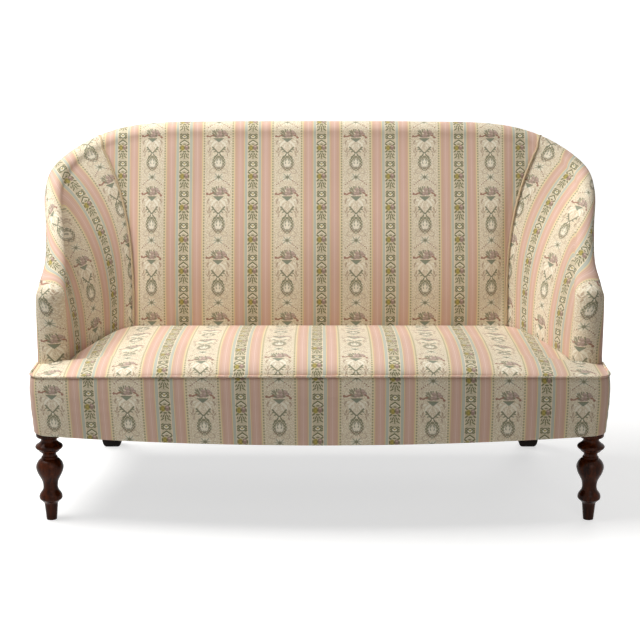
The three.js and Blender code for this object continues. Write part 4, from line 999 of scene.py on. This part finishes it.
def seat_grid():
    last = len(SEAT_SIDE) + 2
    side = [seat_side(k / SEAT_ROWS) for k in range(last * SEAT_ROWS + 1)]
    half = (len(COLUMN_shares) - 1) * SEAT_COLUMNS
    columns = [k / SEAT_COLUMNS for k in range(-half, half + 1)]
    shares = [math.copysign(between(COLUMN_shares, abs(c)), c) for c in columns]
    heads = [front_point(s * FRONT_REACH, 0) for s in shares]
    feet = [wall_foot(math.copysign(between(BACK_STATIONS, abs(c)), c)) for c in columns]
    depth = side[-1].y - side[0].y
    grid = []
    for i, edge in enumerate(side):
        t = mix(i / (len(side) - 1), (edge.y - side[0].y) / depth, 0.5)
        bulge = edge - side[0].lerp(side[-1], t)
        line = []
        for k, s in enumerate(shares):
            turned = Vector((math.copysign(1, s), 1, 1))
            point = heads[k].lerp(feet[k], t) + bulge * turned * abs(s) ** 3
            dome = SEAT_CROWN * (1 - s * s) * math.sin(math.pi * t**CROWN_POWER)
            rise = soften(point, *SEAT_SWELL) * (1 - s**4) * math.sin(math.pi * t)
            line.append(point + Vector((0, 0, dome + rise)))
        grid.append(line)
    return grid


def seat():
    front = seat_grid()
    bottom = SEAT_EDGE - 30 * MM
    runs = [arc_lengths(column) for column in zip(*front)]
    foot = 3 * SEAT_ROWS  # the first row whose ends are at the wall
    for i, line in enumerate(front):
        across = arc_lengths(line)
        for k, p in enumerate(line):
            drop = CREASE * crease(runs[k][-1] - runs[k][i], CREASE_REACH)
            if i >= foot:
                to_arm = min(across[k], across[-1] - across[k])
                drop = max(drop, SIDE_CREASE * crease(to_arm, CREASE_REACH))
            p.z -= drop
    back = [[at_height(p, bottom) for p in line] for line in front]
    uv = []
    for i, line in enumerate(front):
        bows = [(p.y + FRONT_BOW) * SEAT_BOW for p in front[0]]
        uv.append([(p.x + SEAT_ACROSS, runs[k][i] + bows[k] - SEAT_BOWL) for k, p in enumerate(line)])
    piece = slab("seat", front, back, uv, CLOTH)
    return finish_piece(piece, "cover_cloth", "seat_cover", "seat_stuffing")


def around_the_front(count):
    return [mix(-FULL_RUN, FULL_RUN, k / count) for k in range(count + 1)]


def border():
    """The front border from the welt down, round the bottom of the rail and in under it."""
    turn = 5 * MM
    under = 12 * MM
    rows = 36
    front = []
    back = []
    uv = []
    for run in around_the_front(180):
        edge = front_point(run, 0)
        top = edge.z - GAP
        low = rim_height(edge.x) + turn
        line = []
        inner = []
        for k in range(rows + 1):
            q = (k / rows) ** 1.5
            uneven = soften((edge.x, edge.y, q), *BORDER_SWELL) * math.sin(math.pi * q)
            drawn = BORDER_TUCK * crease(q * (top - low), TUCK_REACH)
            swell = BELLY * math.sin(math.pi * q**BELLY_POWER) + uneven - drawn
            z = mix(top, low, q)
            line.append(at_height(front_point(run, -swell), z))
            inner.append(at_height(front_point(run, COVER - swell), z))
        for k in range(1, 7):
            a = math.pi / 2 * k / 6
            reach = turn * (1 - math.cos(a))
            z = low - turn * math.sin(a)
            line.append(at_height(front_point(run, reach), z))
            inner.append(at_height(front_point(run, reach + COVER * math.cos(a)), z + COVER * math.sin(a)))
        end = front_point(run, turn + under)
        line.append(at_height(end, low - turn))
        inner.append(at_height(end, low - turn + COVER))
        front.append(line)
        back.append(inner)
        lengths = arc_lengths(line)
        basket = clamp((run / (PERIOD * MM) + 3.5) / 7) * 7
        start = line[0].z - between(BORDER_BOWL_shares, basket) * MM
        taken_up = BORDER_RIGHT * smooth(run, 0.05, 0.35)
        taken_up += BORDER_LEFT * smooth(-run, 0.05, 0.35) * (1 - smooth(-run, 0.5, 0.62))
        across = run + BORDER_ACROSS + taken_up
        slant = BORDER_SLANT * smooth(-run, 0, 0.25) / lengths[-1]
        uv.append([(across - slant * r, (start - r) * BORDER_STRETCH) for r in lengths])
    piece = slab("front_border_cloth", front, back, uv, CLOTH)
    return finish_piece(piece, "cover_cloth", "front_border")


# How far a seam cord's middle stands off the wall, as a share of its radius; past the crest it sinks in.
CORD_STAND = 0.3
CORD_SINK = -0.5
WELT_LIFT = 0.6 * MM  # how far the welt's middle is over the seat's edge
WELT_ROUND = 2 * math.pi * WELT
WELT_BIAS = 30 * MM  # where along the cloth the welt's strip was cut


def welt_cloth(run, share):
    return run - FULL_RUN + BORDER_ACROSS, WELT_BIAS + share * WELT_ROUND


def cord_cloth(run, share):
    return share * WELT_ROUND, run


def piping():
    reach = WELT + GAP
    stand = reach * math.sqrt(0.5)
    line = [front_point(run, -stand) + Vector((0, 0, WELT_LIFT)) for run in around_the_front(320)]
    piece = tube("seat_welt_cord", line, WELT, 12, welt_cloth, CLOTH)
    finish_piece(piece, "piping", "seat_welt")
    rows = inside_profile(SEAM)[1:-1]
    for name, sign in SIDES:
        line = []
        for k, (point, away, _) in enumerate(rows):
            up = (rows[min(k + 1, len(rows) - 1)][0] - rows[max(k - 1, 0)][0]).normalized()
            off = (away - up * up.dot(away)).normalized()
            over_crest = smooth(k, FACE_ROWS - 2, FACE_ROWS + ROLL_ROWS // 2)
            spot = point + off * WELT * mix(CORD_STAND, CORD_SINK, over_crest)
            line.append(spot * Vector((sign, 1, 1)))
        line[0].z += reach
        piece = tube(f"seam_cord_{name}", line, WELT, 12, cord_cloth, CORD_CLOTH)
        finish_piece(piece, "piping", f"seam_piping_{name}")


# The turned front legs: each run of the profile is one smooth curve, with a sharp edge where runs meet.
LEG_TURNED = RIM - 1 * MM
LEG_RADIUS = 32 * MM
LEG_PROFILE_shares = (
    ((0.38, 0), (0.4, 0.03), (0.45, 0.113), (0.5, 0.19)),
    ((0.5, 0.19), (0.64, 0.215), (0.8, 0.237), (0.84, 0.258), (0.8, 0.29), (0.66, 0.322)),
    ((0.66, 0.322), (0.57, 0.345), (0.53, 0.385), (0.585, 0.442), (0.715, 0.484)),
    ((0.715, 0.484), (0.88, 0.532), (0.97, 0.574), (1, 0.61), (0.905, 0.652), (0.74, 0.684), (0.56, 0.702)),
    ((0.56, 0.702), (0.6, 0.71), (0.56, 0.722), (0.5, 0.732), (0.51, 0.758), (0.57, 0.772)),
    ((0.57, 0.772), (0.72, 0.784), (0.8, 0.802)),
    ((0.8, 0.802), (0.95, 0.818), (1, 0.836), (0.93, 0.854)),
    ((0.93, 0.854), (0.76, 0.872), (0.6, 0.898), (0.58, 0.922), (0.66, 0.936)),
    ((0.66, 0.936), (0.86, 0.946), (0.92, 0.96), (0.92, 0.99)),
)
LEG_BLOCK = 46 * MM
LEG_CHAMFER = 1.5 * MM


def smooth_run(points, steps):
    """Points on a smooth curve through a list of places."""
    places = [Vector(p) for p in points]
    return [curve(places, k / steps) for k in range((len(places) - 1) * steps + 1)]


def front_leg(name):
    low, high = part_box(f"front_leg_{name}")
    x = (low[0] + high[0]) / 2
    y = (low[1] + high[1]) / 2
    profile = [(r, z * LEG_TURNED) for run in LEG_PROFILE_shares for r, z in smooth_run(run, 6)]
    profile.append((profile[-1][0], LEG_TURNED))
    sides = 48
    points = []
    for share, z in profile:
        r = share * LEG_RADIUS
        points += [(x + r * c, y + r * s, z) for c, s in circle(sides)]
    faces = ring_faces(len(profile), sides)
    # The square top that is tenoned into the rails.
    half = LEG_BLOCK / 2
    ring = []
    for c, s in ((1, 0), (0, 1), (-1, 0), (0, -1)):
        for a, b in ((half, half - LEG_CHAMFER), (half - LEG_CHAMFER, half)):
            ring.append((x + a * c - b * s, y + a * s + b * c))
    faces += ring_faces(2, len(ring), len(points))
    points += [(*corner, z) for z in (LEG_TURNED, high[2]) for corner in ring]
    piece = give_mesh(f"turned_leg_{name}", points, faces, None, MAHOGANY, 35)
    return finish_piece(piece, "mahogany", f"front_leg_{name}")


# The rear posts from the floor up: shares of the height, of DEPTH for the middle, and of the thickness.
POST_PATH_shares = (
    (0, 0.968, 0.78), (0.005, 0.967, 0.92), (0.014, 0.965, 1.02), (0.028, 0.96, 1.06), (0.09, 0.937, 1.06),
    (0.18, 0.89, 1.02), (0.265, 0.85, 1), (0.4, 0.85, 1), (0.64, 0.88, 0.86), (1, 0.931, 0.66),
)
POST_WIDTH = 48 * MM
POST_DEPTH = 38 * MM
POST_ROUND = 5 * MM
LINING_SAG = 4 * MM


def back_post(name):
    low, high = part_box(f"back_post_{name}")
    x = (low[0] + high[0]) / 2
    path = smooth_run(POST_PATH_shares, 6)
    ring = []
    for cx, cy, start in ((1, 1, 0), (-1, 1, 90), (-1, -1, 180), (1, -1, 270)):
        for k in range(5):
            a = math.radians(start + 90 * k / 4)
            ring.append((cx, cy, math.cos(a) * POST_ROUND, math.sin(a) * POST_ROUND))
    points = []
    for z, y, size in path:
        w = POST_WIDTH * size / 2 - POST_ROUND
        d = POST_DEPTH * size / 2 - POST_ROUND
        points += [place((x + cx * w + a, y * DEPTH + cy * d + b, z * high[2])) for cx, cy, a, b in ring]
    faces = ring_faces(len(path), len(ring))
    piece = give_mesh(f"raked_post_{name}", points, faces, None, DARK_WOOD, 40)
    return finish_piece(piece, "dark_wood", f"back_post_{name}")


def lining():
    """The black lining under the frame, cut finer and let sag a little between its tacks."""
    bm = bmesh.new()
    bm.from_mesh(frame["nodes"]["bottom_lining"].data)
    low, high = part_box("bottom_lining")
    for axis, steps in ((0, 24), (1, 12)):
        for k in range(1, steps):
            spot = [0, 0, 0]
            normal = [0, 0, 0]
            spot[axis] = mix(low[axis], high[axis], k / steps)
            normal[axis] = 1
            geometry = bm.verts[:] + bm.edges[:] + bm.faces[:]
            bmesh.ops.bisect_plane(bm, geom=geometry, dist=1e-6, plane_co=spot, plane_no=normal)
    for vertex in bm.verts:
        s = 2 * (vertex.co.x - low[0]) / (high[0] - low[0]) - 1
        t = 2 * (vertex.co.y - low[1]) / (high[1] - low[1]) - 1
        vertex.co.z -= LINING_SAG * (1 - s**4) * max(0, 1 - t**4)
    mesh = bpy.data.meshes.new("underside_lining")
    bm.to_mesh(mesh)
    bm.free()
    piece = dress_mesh("underside_lining", mesh, LINING, 40)
    return finish_piece(piece, "lining", "bottom_lining")


def carried_over():
    """Materials for the frame's pieces inside, which stay as they are."""
    finishes = {"beech": BEECH, "jute": JUTE, "spring_steel": STEEL}
    for part in frame["record"]["subparts"]:
        material = finishes.get(part["material_slot"])
        if material:
            data = frame["nodes"][part["node"]].data
            data.materials.clear()
            data.materials.append(material)


inside_back()
for side_name, side_sign in SIDES:
    inside_arm(side_name, side_sign)
outside_covers()
seat()
border()
piping()
for side_name, _ in SIDES:
    front_leg(side_name)
    back_post(side_name)
lining()
carried_over()


# The camera stands where the photograph was taken from.
CAMERA_DISTANCE = 3.618  # in front of the seat's front corners
CAMERA_HEIGHT = 1.34
CAMERA_PITCH = 13.2  # degrees down
CAMERA_LENS = 92.4
FLOOR_REACH = 60
LAMP_TARGET = Vector((0, 0, 0.4))


def camera():
    data = bpy.data.cameras.new("camera")
    data.lens = CAMERA_LENS
    data.sensor_width = 36
    eye = add_object("camera", data)
    eye.location = place((0, -CAMERA_DISTANCE, CAMERA_HEIGHT))
    eye.rotation_euler = (math.radians(90 - CAMERA_PITCH), 0, 0)
    bpy.context.scene.camera = eye


def area_light(name, location, size, power):
    data = bpy.data.lights.new(name, "AREA")
    data.shape = "DISK"
    data.size = size
    data.energy = power
    lamp = add_object(name, data)
    lamp.location = location
    lamp.rotation_euler = (LAMP_TARGET - Vector(location)).to_track_quat("-Z", "Y").to_euler()


def shown_mix(tree, plain, shown):
    """One shader, and another for the rays that show the surround, also off gloss or through glass."""
    path = node(tree, "LightPath")
    rays = [Num(tree, path.outputs[f"Is {kind} Ray"]) for kind in ("Camera", "Glossy", "Transmission")]
    links = {0: rays[0].most(rays[1]).most(rays[2]).socket, 1: plain.outputs[0], 2: shown.outputs[0]}
    return node(tree, "MixShader", links=links).outputs[0]


def studio_world():
    """An even white surround, which lights the object only a little."""
    world = bpy.data.worlds.new("studio")
    world.use_nodes = True
    tree = world.node_tree
    tree.nodes.clear()
    fill = node(tree, "Background", inputs={"Color": (1, 1, 1, 1), "Strength": 0.09})
    white = node(tree, "Background", inputs={"Color": (1, 1, 1, 1), "Strength": 1})
    node(tree, "OutputWorld", links={"Surface": shown_mix(tree, fill, white)})
    bpy.context.scene.world = world


def studio_floor():
    """A wide pale grey floor; a lift that only shows, and lights nothing, brings it up to the surround."""
    material, tree, shader = principled("studio_floor", 0.9)
    where = object_place(tree)
    grain = Num(tree, noise_over(tree, where, 2, 2))
    paint = Paint(tree, "c2c1bf").lay(grain, "c6c5c3")
    tree.links.new(paint.value, shader.inputs["Base Color"])
    away = node(tree, "VectorMath", {"operation": "LENGTH"}, links={0: where})
    ends = {"From Min": 1, "From Max": 2.4, "To Min": 0.62, "To Max": 1}
    links = {"Value": away.outputs["Value"]}
    lift = node(tree, "MapRange", {"interpolation_type": "SMOOTHSTEP"}, ends, links)
    links = {"Strength": lift.outputs["Result"]}
    glow = node(tree, "Emission", inputs={"Color": (1, 1, 1, 1)}, links=links)
    lifted = node(tree, "AddShader", links={0: shader.outputs[0], 1: glow.outputs[0]})
    surface = tree.nodes["Material Output"].inputs["Surface"]
    tree.links.new(shown_mix(tree, shader, lifted), surface)
    mesh = bpy.data.meshes.new("floor")
    corners = [(x * FLOOR_REACH, y * FLOOR_REACH, 0) for x, y in ((-1, -1), (1, -1), (1, 1), (-1, 1))]
    mesh.from_pydata(corners, [], [(0, 1, 2, 3)])
    mesh.materials.append(material)
    add_object("floor", mesh)


camera()
studio_world()
studio_floor()
area_light("key", (-1.5, -0.1, 3.15), 2.3, 132)
area_light("front", (0.9, -3.2, 2.2), 2.0, 16)
area_light("behind", (1.4, 3.0, 2.2), 2.0, 24)
bpy.context.scene.view_settings.view_transform = "Standard"
